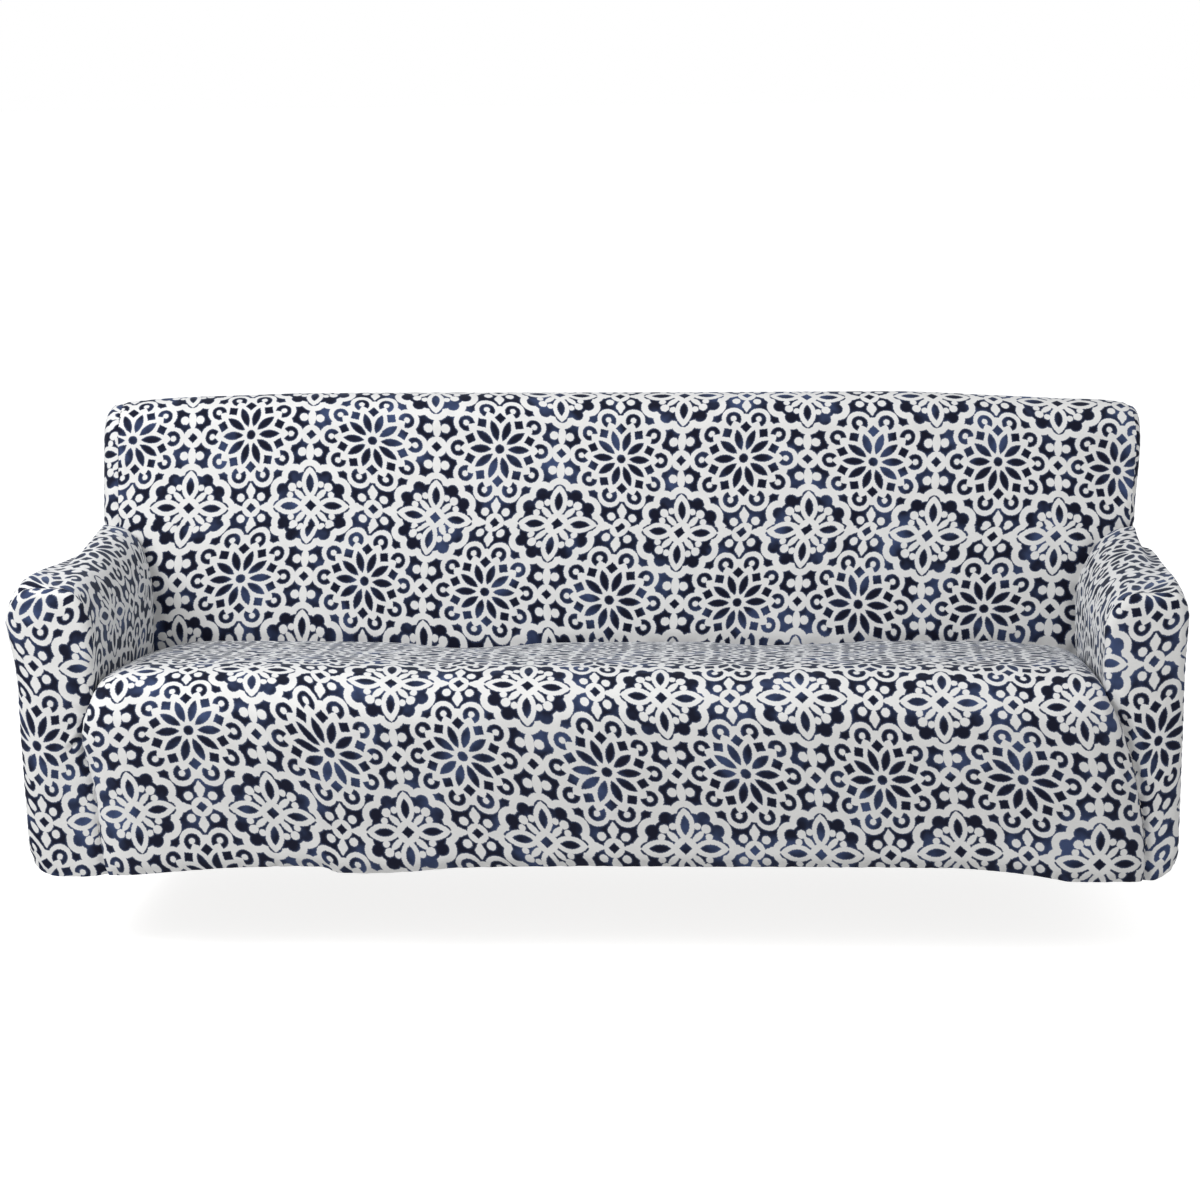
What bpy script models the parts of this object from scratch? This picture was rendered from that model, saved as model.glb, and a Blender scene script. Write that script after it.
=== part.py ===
"""Fitted stretch slipcover for a three-seat sofa: nine sewn panels of printed velvet, hollow and open below.

X runs along the seat, Y from front to back and Z up from the hem's lowest point, in metres. Every panel is one sheet
of cloth. It is laid over the rounded form that it is stretched on, and two panels share the points of their seam.
"""

import bmesh
import bpy
import numpy as np

# The cloth
CLOTH = 0.003  # thickness of the plush
SEAM_GAP = 0.0003  # between two panels along their seam

# The form that the cover is stretched on
FRONT_Y = -0.3775  # front faces of the arms
REAR_Y = 0.4165  # outside back, at its edges
CREASE_Y = 0.1975  # where the seat meets the inside back
CREASE_Z = 0.327
FACE_TOP_Y = 0.2596  # the inside back leans back to here, where its top roll starts
FACE_TILT = np.radians(9.0)
ROLL_DEPTH = (REAR_Y - FACE_TOP_Y) / 2  # half thickness of the back's top roll
ROLL_HEIGHT = 0.085
ROLL_Y = (REAR_Y + FACE_TOP_Y) / 2
ARM_EDGE = 0.018  # rounding between an arm's front face and its top
BACK_BULGE = 0.018  # how far the back cushions push the inside back forward
FRONT_CROWN = 0.007  # how far an arm's front face is padded out
REAR_BULGE = 0.006  # how far the middle of the outside back stands behind its edges
CUSHION_DIP = 0.006  # sag of the cloth over the gap between two cushions
CUSHION_GAP_X = 0.295
CUSHION_GAP_WIDTH = 0.05
BACK_DIP, TOP_DIP, APRON_DIP = 0.6, 0.7, 0.5  # shares of that sag on the inside back, seat top and apron
FLARE_FROM, FLARE_OVER = 0.55, 0.17  # heights between which an end of the back flares out
SIDE_Z = 0.50  # where the end gusset of the back meets the rear corner of the arm
REAR_HEM_Z = 0.004

# Each side's own sizes: the cover sits a little unevenly
SIDES = {
    "left": {
        "sign": -1,
        "inner_x": 0.8945, "top_z": 0.528, "inner_run": 0.055, "inner_drop": 0.097,
        "outer_x": 1.0525, "outer_run": 0.050, "outer_drop": 0.066, "hem_x": 1.0265, "hem_z": 0.035,
        "waist_x": 1.0380, "waist_z": 0.380, "shoulder": 0.019, "shoulder_at": 0.16,
        "rear_inner_x": 0.8975, "rear_top_z": 0.556, "rear_run": 0.077, "rear_drop": 0.148,
        "seat_corner_z": 0.345, "crease_z": 0.306,
        "side_x": 1.0070, "corner": 0.034, "seam_turn": 0.0, "side_hem_x": 1.000, "flare": 0.0,
    },
    "right": {
        "sign": 1,
        "inner_x": 0.9035, "top_z": 0.519, "inner_run": 0.066, "inner_drop": 0.072,
        "outer_x": 1.0525, "outer_run": 0.026, "outer_drop": 0.048, "hem_x": 1.0415, "hem_z": 0.030,
        "waist_x": 1.0480, "waist_z": 0.400, "shoulder": 0.015, "shoulder_at": 0.27,
        "rear_inner_x": 0.9070, "rear_top_z": 0.552, "rear_run": 0.1155, "rear_drop": 0.155,
        "seat_corner_z": 0.352, "crease_z": 0.308,
        "side_x": 1.0270, "corner": 0.030, "seam_turn": np.radians(47.0), "side_hem_x": 1.012, "flare": 0.012,
    },
}  # fmt: skip

# Front hem: x, height
HEM = np.array([
    (-1.0265, 0.035), (-1.0120, 0.016), (-0.9985, 0.005), (-0.9600, 0.000), (-0.9325, 0.000), (-0.8725, 0.006),
    (-0.7625, 0.017), (-0.5715, 0.027), (-0.4900, 0.027), (-0.4600, 0.017), (-0.4095, 0.015), (-0.3285, 0.019),
    (-0.2195, 0.027), (0.1925, 0.030), (0.6355, 0.029), (0.7415, 0.022), (0.8205, 0.011), (0.8475, 0.006), (0.9525, 0.004),
    (0.9825, 0.001), (1.0055, 0.005), (1.0215, 0.017), (1.0415, 0.030),
])  # fmt: skip

# Crease between seat and inside back: x, height. It dips where two cushions meet and at both ends.
CREASE = np.array([
    (-0.8975, 0.306), (-0.8735, 0.315), (-0.8335, 0.326), (-0.7635, 0.330), (-0.4115, 0.326), (-0.2915, 0.314),
    (-0.1945, 0.319), (-0.1095, 0.326), (0.1795, 0.328), (0.2985, 0.320), (0.4205, 0.324), (0.5385, 0.330),
    (0.7645, 0.330), (0.8065, 0.324), (0.8665, 0.318), (0.9070, 0.308),
])  # fmt: skip

# Top of the back: x, height
TOP = np.array([
    (-0.9745, 0.788), (-0.8815, 0.796), (-0.7300, 0.801), (-0.5800, 0.805), (0.1400, 0.803), (0.5500, 0.803),
    (0.7600, 0.794), (0.8770, 0.788), (0.9945, 0.779), (1.0235, 0.773),
])  # fmt: skip

# Seat, from the arms' front edge down to the hem: the middle's depth and height, and its seam with each arm's front
SEAT_FRONT = [
    {"mid": (-0.3835, 0.3600), "left": (0.8985, 0.334), "right": (0.9085, 0.341)},
    {"mid": (-0.4005, 0.3440), "left": (0.9055, 0.316), "right": (0.9170, 0.324)},
    {"mid": (-0.4130, 0.3245), "left": (0.9130, 0.294), "right": (0.9265, 0.305)},
    {"mid": (-0.4205, 0.3015), "left": (0.9175, 0.268), "right": (0.9360, 0.282)},
    {"mid": (-0.4225, 0.2650), "left": (0.9190, 0.240), "right": (0.9480, 0.248)},
    {"mid": (-0.4215, 0.2100), "left": (0.9080, 0.200), "right": (0.9595, 0.204)},
    {"mid": (-0.4180, 0.1500), "left": (0.8975, 0.150), "right": (0.9700, 0.150)},
    {"mid": (-0.4135, 0.0900), "left": (0.8935, 0.090), "right": (0.9795, 0.090)},
    {"mid": (-0.4090, 0.0290), "left": (0.8865, 0.0055), "right": (0.9845, 0.0015)},
]
SEAT_TOP = np.array([
    (-0.3595, 0.3725), (-0.3350, 0.3780), (-0.3000, 0.3785), (-0.2400, 0.3755), (-0.1400, 0.3665), (0.0000, 0.3520),
    (CREASE_Y, CREASE_Z),
])  # fmt: skip
SEAT_END_REAR, SEAT_END_FRONT = 0.110, 0.100  # width of the rounding at the seat's two ends

# Where the sheets have their points, as shares of the way along
ACROSS = np.array([
    0, 0.0025, 0.009, 0.020, 0.035, 0.07, 0.12, 0.18, 0.24, 0.29, 0.335, 0.38, 0.44, 0.5,
    0.56, 0.62, 0.665, 0.71, 0.76, 0.82, 0.88, 0.93, 0.965, 0.980, 0.991, 0.9975, 1,
])  # fmt: skip
ARM_ALONG = np.array([0, 0.06, 0.16, 0.30, 0.46, 0.63, 0.80, 0.92, 1])
CORNER_FROM = 0.80  # share of the way along an arm where its rear corner starts to turn
GUSSET_ACROSS = np.array([0, 0.06, 0.20, 0.5, 0.78, 0.94, 1])
ARM_FACE_STEPS, ARM_ROUND_STEPS = 3, 6
OUTER_ROUND_STEPS, OUTER_FACE_STEPS, WAIST_STEPS = 4, 5, 2
GUSSET_FACE_STEPS, ROLL_STEPS = 4, 10
ROLL_SIDE_STEPS = 2  # of the roll's steps, how many belong to a gusset's front edge and how many to its rear edge
FRONT_ACROSS = np.array([0, 0.04, 0.12, 0.35, 0.65, 0.88, 0.96, 1])

COVER_COLOUR = (0.33, 0.36, 0.47, 1.0)  # indigo print and cream ground together, seen from far away


def smooth(t):
    t = np.clip(t, 0.0, 1.0)
    return t * t * (3 - 2 * t)


def blend(a, b, t):
    return a + (b - a) * t


def line(a, b, steps):
    """Points from a to b, both ends included."""
    return blend(np.array(a, float), np.array(b, float), np.linspace(0, 1, steps + 1)[:, None])


def read(table, x):
    return np.interp(x, table[:, 0], table[:, 1])


def unit(v):
    return v / np.maximum(np.linalg.norm(v, axis=-1, keepdims=True), 1e-9)


def cushion_dip(x):
    return CUSHION_DIP * sum(np.exp(-(((x - gap) / CUSHION_GAP_WIDTH) ** 2)) for gap in (-CUSHION_GAP_X, CUSHION_GAP_X))


# Profile of the back, from its crease up its face and over the top roll


def face_y(z, roll_z):
    """Depth of the leaning inside back, at a height, where the roll's centre is at roll_z."""
    start = roll_z + ROLL_HEIGHT * np.sin(FACE_TILT)
    top = ROLL_Y - ROLL_DEPTH * np.cos(FACE_TILT)
    return blend(CREASE_Y, top, (z - CREASE_Z) / (start - CREASE_Z))


def roll_centre(x):
    return read(TOP, x) - ROLL_HEIGHT


def inside_back_y(x, z):
    """Depth of the padded inside back along one row from its left edge to its right edge."""
    start = roll_centre(x) + ROLL_HEIGHT * np.sin(FACE_TILT)
    height = np.clip((z - CREASE_Z) / (start - CREASE_Z), 0, 1)
    padding = BACK_BULGE * np.sin(np.pi * height) * (1 - np.abs(2 * ACROSS - 1) ** 6)
    dip = BACK_DIP * cushion_dip(x) * np.sin(np.pi * np.clip(0.15 + height, 0, 1))
    return face_y(z, roll_centre(x)) - padding + dip


def roll_angles():
    return np.linspace(FACE_TILT, np.pi, ROLL_STEPS + 1)


def roll_point(angle, roll_z):
    return ROLL_Y - ROLL_DEPTH * np.cos(angle), roll_z + ROLL_HEIGHT * np.sin(angle)


def profile_normal(angle):
    """(y, z) of the outward normal where the profile has turned by this angle from facing the front."""
    return np.stack([-np.cos(angle), np.sin(angle)], -1)


# Outline of an arm's front, and the rounding that leads into it


def arm_outline(side):
    """(inner, top, outer) points of the arm's front outline, as (distance from the middle, height)."""
    flat_from = side["inner_x"] + side["inner_run"]
    flat_to = side["outer_x"] - side["outer_run"]
    face_top = side["top_z"] - side["inner_drop"]
    inner = line((side["inner_x"], side["seat_corner_z"]), (side["inner_x"], face_top), ARM_FACE_STEPS)
    turn = np.linspace(0, np.pi / 2, ARM_ROUND_STEPS + 1)[1:]
    inner_round = np.stack(
        [side["inner_x"] + side["inner_run"] * (1 - np.cos(turn)), face_top + side["inner_drop"] * np.sin(turn)], -1
    )
    top = line((flat_from, side["top_z"]), (flat_to, side["top_z"]), len(GUSSET_ACROSS) - 1)
    turn = np.linspace(np.pi / 2, 0, OUTER_ROUND_STEPS + 1)
    widest_z = side["top_z"] - side["outer_drop"]
    outer_round = np.stack(
        [flat_to + side["outer_run"] * np.cos(turn), widest_z + side["outer_drop"] * np.sin(turn)], -1
    )
    waist = (side["waist_x"], side["waist_z"])
    upper = line((side["outer_x"], widest_z), waist, WAIST_STEPS)[1:]
    lower = line(waist, (side["hem_x"], side["hem_z"]), OUTER_FACE_STEPS - WAIST_STEPS)[1:]
    return np.vstack([inner, inner_round]), top, np.vstack([outer_round, upper, lower])


def rounded_outline(side):
    """The arm's outline as one line, led away below the seat, where the front face has no rounded edge."""
    inner, top, outer = arm_outline(side)
    corner = np.array([side["inner_x"], side["seat_corner_z"]])
    below = corner - np.array([(0.30, 0.10), (0.05, 0.03)])
    return densely(np.vstack([below, inner, top[1:], outer[1:]]))


def densely(points, step=0.002):
    parts = [
        line(a, b, max(1, int(np.linalg.norm(b - a) / step)))[:-1] for a, b in zip(points[:-1], points[1:], strict=True)
    ]
    return np.vstack([*parts, points[-1:]])


def edge_distance(points, outline):
    """How far each flat point lies inside the outline, and the way out."""
    flat = points.reshape(-1, 2)
    away = outline[None] - flat[:, None]
    reach = np.linalg.norm(away, axis=-1)
    nearest = reach.argmin(1)
    rows = np.arange(len(flat))
    return reach[rows, nearest].reshape(points.shape[:-1]), unit(away[rows, nearest]).reshape(points.shape)


def rounding(distance, radius):
    """Depth below the flat face, at this distance from the edge of the rounding."""
    return radius - np.sqrt(np.maximum(radius**2 - np.maximum(radius - distance, 0) ** 2, 0))


def front_depth(side, points):
    distance, _ = edge_distance(points, rounded_outline(side))
    return FRONT_Y + rounding(distance, ARM_EDGE)


# Seams, as points that both panels share


def seam_seat_arm(side):
    """Along the arm's inside, from the back crease to the arm's front edge."""
    along = 1 - ARM_ALONG[::-1]
    start = (side["rear_inner_x"], CREASE_Y + (side["crease_z"] - CREASE_Z) * np.tan(FACE_TILT), side["crease_z"])
    end = (side["inner_x"], FRONT_Y + ARM_EDGE, side["seat_corner_z"])
    points = blend(np.array(start), np.array(end), along[:, None])
    points[:, 0] *= side["sign"]
    return points


def seam_seat_front(name):
    """From the arm's inside front edge down the arm's front face to the hem."""
    side = SIDES[name]
    corner = (side["inner_x"], side["seat_corner_z"])
    flat = np.array([corner] + [row[name] for row in SEAT_FRONT])
    depth = front_depth(side, flat)
    depth[0] = FRONT_Y + ARM_EDGE
    return np.stack([side["sign"] * flat[:, 0], depth, flat[:, 1]], -1)


def seam_arm_back(side):
    """Up the crease between the arm and the inside back, to the foot of the gusset."""
    face_top = side["rear_top_z"] - side["rear_drop"]
    x = side["rear_inner_x"]
    face = line((x, side["crease_z"]), (x, face_top), ARM_FACE_STEPS)
    turn = np.linspace(0, np.pi / 2, ARM_ROUND_STEPS + 1)[1:]
    top = np.stack([x + side["rear_run"] * (1 - np.cos(turn)), face_top + side["rear_drop"] * np.sin(turn)], -1)
    flat = np.vstack([face, top])
    roll_z = roll_centre(side["sign"] * flat[-1, 0])
    return np.stack([side["sign"] * flat[:, 0], face_y(flat[:, 1], roll_z), flat[:, 1]], -1)


def gusset_profile(side):
    """(y, z) points and angles of the back's profile at one end, from the gusset's foot over the roll."""
    foot = seam_arm_back(side)[-1]
    roll_z = roll_centre(side["sign"] * (side["side_x"] - side["corner"]))
    start_z = roll_z + ROLL_HEIGHT * np.sin(FACE_TILT)
    z = np.linspace(foot[2], start_z, GUSSET_FACE_STEPS + 1)
    face = np.stack([face_y(z, roll_z), z], -1)
    angles = roll_angles()[1:]
    roll = np.stack(roll_point(angles, roll_z), -1)
    return np.vstack([face, roll]), np.concatenate([np.full(len(face), FACE_TILT), angles])


def seam_turns(side):
    """How far round the corner the gusset's front seam lies. It comes back to the corner's start at the rear."""
    share = np.concatenate([np.zeros(GUSSET_FACE_STEPS), np.linspace(0, 1, ROLL_STEPS + 1)])
    return side["seam_turn"] * (1 - smooth(share))


def flare(side, z):
    return side["flare"] * smooth((z - FLARE_FROM) / FLARE_OVER)


def seam_gusset_front(side):
    """Points and normals of the seam between inside back and gusset, over the roll to the rear."""
    profile, angles = gusset_profile(side)
    turns = seam_turns(side)[:, None]
    normal = profile_normal(angles)
    flat = profile - side["corner"] * (1 - np.cos(turns)) * normal
    x = side["side_x"] - side["corner"] + side["corner"] * np.sin(turns[:, 0]) + flare(side, profile[:, 1])
    points = np.stack([side["sign"] * x, flat[:, 0], flat[:, 1]], -1)
    normals = np.hstack([side["sign"] * np.sin(turns), normal * np.cos(turns)])
    return points, normals


def gusset_outline(side):
    """The whole (y, z) outline of the end of the back, for its rounded edge."""
    profile, _ = gusset_profile(side)
    return densely(np.vstack([profile, [(REAR_Y, SIDE_Z - 0.2)]]), step=0.001)


def gusset_x(side, flat):
    """Distance from the middle of the gusset's surface over (y, z) points, and its outward normals."""
    distance, outwards = edge_distance(flat, gusset_outline(side))
    lean = np.clip((side["corner"] - distance) / side["corner"], 0, 1)[..., None]
    x = side["side_x"] - rounding(distance, side["corner"]) + flare(side, flat[..., 1])
    across = np.full(lean.shape, side["sign"]) * np.sqrt(1 - lean**2)
    return x, np.concatenate([across, outwards * lean], -1)


def seam_gusset_foot(side):
    """From the foot of the gusset's front seam back along the top of the arm to the rear corner."""
    start = seam_gusset_front(side)[0][0]
    y = blend(start[1], REAR_Y, GUSSET_ACROSS)
    z = blend(start[2], SIDE_Z, smooth((y - start[1]) / (REAR_Y - start[1])))
    x, _ = gusset_x(side, np.stack([y, z], -1))
    points = np.stack([side["sign"] * x, y, z], -1)
    points[0] = start
    points[-1, 0] = side["sign"] * (side["side_x"] - side["corner"])
    return points


def foot_normals(side):
    """Normals that arm and gusset share along that seam, turning from the arm's top to its side."""
    _, normals = gusset_x(side, seam_gusset_foot(side)[:, 1:])
    return unit(normals + (1 - smooth(GUSSET_ACROSS))[:, None] * np.array([0, 0, 1.0]))


def seam_rear_side(side):
    """Down the rear corner of the arm, from the gusset to the hem, where the corner has turned to face the rear."""
    z = np.linspace(SIDE_Z, REAR_HEM_Z, OUTER_ROUND_STEPS + OUTER_FACE_STEPS + 1)
    x = blend(side["side_x"], side["side_hem_x"], (SIDE_Z - z) / SIDE_Z) - side["corner"]
    return np.stack([side["sign"] * x, np.full(len(z), REAR_Y), z], -1)


def seam_gusset_rear(side):
    """Up the rear of the gusset, from the arm's rear corner to the rear end of the top seam."""
    end = seam_gusset_front(side)[0][-1]
    z = np.linspace(SIDE_Z, end[2], GUSSET_FACE_STEPS + 1)
    x = side["side_x"] - side["corner"] + flare(side, z)
    return np.stack([side["sign"] * x, np.full(len(z), REAR_Y), z], -1)


# Sheets


def grid_normals(points, outward):
    """Normals of a grid of points, turned to the side that outward points to."""
    normals = unit(np.cross(np.gradient(points, axis=0), np.gradient(points, axis=1)))
    facing = np.sign((normals * outward).sum(-1).mean())
    return normals * facing


def seamed(points):
    """The grid with its four edges drawn back by half a seam gap."""
    drawn = points.copy()
    half = SEAM_GAP / 2 + 0.00005
    for axis in (0, 1):
        view, source = (drawn, points) if axis == 0 else (drawn.swapaxes(0, 1), points.swapaxes(0, 1))
        view[0] += half * unit(source[1] - source[0])
        view[-1] += half * unit(source[-2] - source[-1])
    return drawn


def patch(low, high, first, last, across):
    """A grid between four edges: rows run from low to high, and first and last join their ends."""
    rows = np.linspace(0, 1, len(low))[:, None, None]
    columns = across[None, :, None]
    ruled_columns = blend(low[:, None], high[:, None], columns)
    ruled_rows = blend(first[None], last[None], rows)
    corners = blend(blend(first[:1], first[-1:], columns), blend(last[:1], last[-1:], columns), rows)
    return ruled_columns + ruled_rows - corners


def sheet(name, points, normals):
    """A closed sheet of cloth: its face, its underside CLOTH deep, and its four cut edges."""
    face = seamed(points)
    under = face - CLOTH * normals
    mesh = bpy.data.meshes.new(name)
    bm = bmesh.new()
    rows, columns = face.shape[:2]
    top = [[bm.verts.new(p) for p in row] for row in face]
    bottom = [[bm.verts.new(p) for p in row] for row in under]
    for i in range(rows - 1):
        for j in range(columns - 1):
            for side in (top, bottom):
                bm.faces.new((side[i][j], side[i][j + 1], side[i + 1][j + 1], side[i + 1][j]))
    border = [(0, j) for j in range(columns)] + [(i, columns - 1) for i in range(1, rows)]
    border += [(rows - 1, j) for j in range(columns - 2, -1, -1)] + [(i, 0) for i in range(rows - 2, 0, -1)]
    for (i, j), (k, m) in zip(border, border[1:] + border[:1], strict=True):
        bm.faces.new((top[i][j], top[k][m], bottom[k][m], bottom[i][j]))
    bmesh.ops.recalc_face_normals(bm, faces=bm.faces)
    bm.to_mesh(mesh)
    bm.free()
    mesh.shade_smooth()
    mesh.set_sharp_from_angle(angle=np.radians(50))
    panel = bpy.data.objects.new(name, mesh)
    bpy.context.scene.collection.objects.link(panel)
    material = bpy.data.materials.new("printed_velvet_" + name)
    material.use_nodes = True
    shader = material.node_tree.nodes["Principled BSDF"]
    shader.inputs["Base Color"].default_value = COVER_COLOUR
    shader.inputs["Roughness"].default_value = 0.85
    shader.inputs["Metallic"].default_value = 0.0
    mesh.materials.append(material)
    return panel


def make_arm(name):
    """The arm's inside, top and outside in one panel, from its front edge to the back."""
    side = SIDES[name]
    inner, top, outer = arm_outline(side)
    front = np.vstack([inner, top[1:], outer[1:]])
    starts = np.stack([side["sign"] * front[:, 0], np.full(len(front), FRONT_Y + ARM_EDGE), front[:, 1]], -1)
    foot, rear = seam_gusset_foot(side), seam_rear_side(side)
    crease = seam_arm_back(side)
    crease[-1] = foot[0]
    ends = np.vstack([crease, foot[1:], rear[1:]])
    points = blend(starts[:, None], ends[:, None], ARM_ALONG[None, :, None])
    turning = ends[:, 1] > REAR_Y - side["corner"]
    for i in np.flatnonzero(turning):
        turn = np.arcsin(min(1 - (REAR_Y - ends[i, 1]) / side["corner"], 1))
        wall = abs(ends[i, 0]) + side["corner"] * (1 - np.cos(turn))
        corner = np.array([side["sign"] * wall, REAR_Y - side["corner"], ends[i, 2]])
        for j, along in enumerate(ARM_ALONG):
            if along <= CORNER_FROM:
                points[i, j] = blend(starts[i], corner, along / CORNER_FROM)
                continue
            angle = turn * (along - CORNER_FROM) / (1 - CORNER_FROM)
            points[i, j] = corner + side["corner"] * np.array(
                [side["sign"] * (np.cos(angle) - 1), np.sin(angle), 0.0]
            )
    # The hem drops quickly from the drawn-up front corner and then runs level
    hem = REAR_HEM_Z + (side["hem_z"] - REAR_HEM_Z) * (1 - ARM_ALONG) ** 7
    weight = smooth(np.linspace(-1.5, 1, len(points)))[:, None]
    points[..., 2] += weight * (hem - points[-1, :, 2])[None]
    outward = np.array([side["sign"], 0, 1.0])
    points += shoulder(side, len(inner), len(top), len(points)) * grid_normals(points, outward)
    normals = grid_normals(points, outward)
    outwards = np.gradient(front, axis=0)
    outwards = unit(np.stack([-outwards[:, 1], outwards[:, 0]], -1))
    normals[:, 0] = np.stack([side["sign"] * outwards[:, 0], np.zeros(len(front)), outwards[:, 1]], -1)
    foot_from = len(crease) - 1
    normals[foot_from : foot_from + len(foot), -1] = foot_normals(side)
    normals[foot_from + len(foot) - 1 :, -1] = (0, 1, 0)
    return sheet("arm_" + name, points, normals)


def shoulder(side, inner_count, top_count, row_count):
    """How far the padding swells the arm's outer shoulder, over its rows and along it."""
    rows = np.arange(row_count)
    outer_from = inner_count + top_count - 2
    over = smooth((rows - inner_count) / top_count) * (1 - smooth((rows - outer_from) / (OUTER_ROUND_STEPS + 1)))
    along = np.sin(np.pi * ARM_ALONG ** (np.log(0.5) / np.log(side["shoulder_at"]))) ** 2
    return side["shoulder"] * over[:, None, None] * along[None, :, None]


def make_arm_front(name):
    """The arm's front face, with its edge rounded back to the arm's panel."""
    side = SIDES[name]
    inner, top, outer = arm_outline(side)
    seam = seam_seat_front(name)[::-1]
    low = np.vstack([np.stack([abs(seam[:, 0]), seam[:, 2]], -1), inner[1:]])
    steps = len(low) - 1
    outline = outer[::-1]
    along = np.concatenate([[0], np.cumsum(np.linalg.norm(np.diff(outline, axis=0), axis=1))])
    even = np.linspace(0, along[-1], steps + 1)
    high = np.stack([np.interp(even, along, outline[:, k]) for k in (0, 1)], -1)
    across = FRONT_ACROSS
    hem_x = blend(low[0, 0], high[0, 0], across)
    first = np.stack([hem_x, read(HEM, side["sign"] * hem_x)], -1)
    first[0], first[-1] = low[0], high[0]
    last = blend(low[-1], high[-1], across[:, None])
    flat = patch(low, high, first, last, across)
    distance, outwards = edge_distance(flat, rounded_outline(side))
    seam_rows = len(seam)
    distance[seam_rows - 1 :, 0] = distance[:, -1] = distance[-1] = 0
    crown = np.sin(np.pi * across)[None] * np.sin(np.pi * np.linspace(0.08, 0.95, steps + 1))[:, None]
    depth = FRONT_Y + rounding(distance, ARM_EDGE) - FRONT_CROWN * crown * smooth(distance / 0.04)
    lean = np.clip((ARM_EDGE - distance) / ARM_EDGE, 0, 1)
    facing = -np.sqrt(1 - lean**2)
    way = outline_normals(high, low, last, outwards, seam_rows)
    normals = np.stack([side["sign"] * way[..., 0] * lean, facing, way[..., 1] * lean], -1)
    points = np.stack([side["sign"] * flat[..., 0], depth, flat[..., 1]], -1)
    return sheet("arm_front_" + name, points, unit(normals))


def outline_normals(high, low, last, outwards, seam_rows):
    """The way out of the outline, taken from its own run where a point lies on it."""
    way = outwards.copy()
    run = np.gradient(high, axis=0)
    way[:, -1] = unit(np.stack([run[:, 1], -run[:, 0]], -1))
    run = np.gradient(low, axis=0)[seam_rows - 1 :]
    way[seam_rows - 1 :, 0] = unit(np.stack([-run[:, 1], run[:, 0]], -1))
    way[-1] = (0, 1)
    return way


def make_back_inner():
    """The inside back, up its face and over the top roll to the seam at the rear."""
    edges = {}
    for name, side in SIDES.items():
        up, normals_up = seam_gusset_front(side)
        crease = seam_arm_back(side)
        crease[-1] = up[0]
        edges[name] = (np.vstack([crease, up[1:]]), normals_up, len(crease) - 1)
    (left, left_normals, foot), (right, right_normals, _) = edges["left"], edges["right"]
    rows = len(left)
    points = np.zeros((rows, len(ACROSS), 3))
    normals = np.zeros_like(points)
    roll_from = foot + GUSSET_FACE_STEPS
    angles = np.concatenate([np.full(roll_from, FACE_TILT), roll_angles()])
    for k in range(rows):
        x = blend(left[k, 0], right[k, 0], ACROSS)
        z = blend(left[k, 2], right[k, 2], ACROSS)
        roll_z = roll_centre(x)
        start = roll_z + ROLL_HEIGHT * np.sin(FACE_TILT)
        if k <= foot:
            z = z + (read(CREASE, x) - blend(left[0, 2], right[0, 2], ACROSS)) * (1 - k / foot) ** 2
        if k >= roll_from:
            y, z = roll_point(angles[k], roll_z)
            y = np.full(len(x), y)
        else:
            climb = smooth((k - foot) / GUSSET_FACE_STEPS)
            z = blend(z, start, climb)
            y = inside_back_y(x, z)
        points[k] = np.stack([x, y, z], -1)
        normals[k] = np.array([0, *profile_normal(angles[k])])
    for edge, edge_normals, column, share in ((left, left_normals, 0, 1 - ACROSS), (right, right_normals, -1, ACROSS)):
        near = smooth((share - 0.93) / 0.07)[None, :, None]
        points += near * (edge - points[:, column])[:, None]
        turned = np.vstack([normals[:foot, column], edge_normals])
        closer = smooth((share - 0.98) / 0.02)[None, :, None]
        normals = unit(blend(normals, turned[:, None], closer))
    return sheet("back_inner", points, normals)


def make_gusset(name):
    """The end of the back above the arm, rounded at its front, top and rear."""
    side = SIDES[name]
    front, front_normals = seam_gusset_front(side)
    foot, rear = seam_gusset_foot(side), seam_gusset_rear(side)
    cut = GUSSET_FACE_STEPS + ROLL_SIDE_STEPS
    low = front[: cut + 1]
    high = np.vstack([rear, front[::-1][1 : ROLL_SIDE_STEPS + 1]])
    last = front[cut : len(front) - ROLL_SIDE_STEPS]
    flat = patch(low[:, 1:], high[:, 1:], foot[:, 1:], last[:, 1:], GUSSET_ACROSS)
    x, normals = gusset_x(side, flat)
    points = np.concatenate([side["sign"] * x[..., None], flat], -1)
    points[:, 0], points[:, -1], points[0], points[-1] = low, high, foot, last
    normals[0] = foot_normals(side)
    normals[:, 0] = front_normals[: cut + 1]
    normals[-1] = front_normals[cut : len(front) - ROLL_SIDE_STEPS]
    normals[: len(rear), -1] = (0, 1, 0)
    normals[len(rear) - 1 :, -1] = front_normals[::-1][: ROLL_SIDE_STEPS + 1]
    return sheet("back_side_" + name, points, unit(normals))


def make_back_outer():
    """The outside back, flat and tight, from the top seam down to the hem."""
    edges = {n: np.vstack([seam_rear_side(s)[::-1], seam_gusset_rear(s)[1:]]) for n, s in SIDES.items()}
    left, right = edges["left"], edges["right"]
    across = ACROSS[::2]
    top = blend(left[-1], right[-1], across[:, None])
    top[:, 2] = roll_centre(top[:, 0])
    top[0], top[-1] = left[-1], right[-1]
    points = patch(left, right, blend(left[0], right[0], across[:, None]), top, across)
    rise = np.linspace(0, 1, len(left))[:, None]
    points[..., 1] += REAR_BULGE * np.sin(np.pi * rise) * np.sin(np.pi * across)[None]
    normals = np.zeros_like(points)
    normals[..., 1] = 1
    return sheet("back_outer", points, normals)


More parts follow.
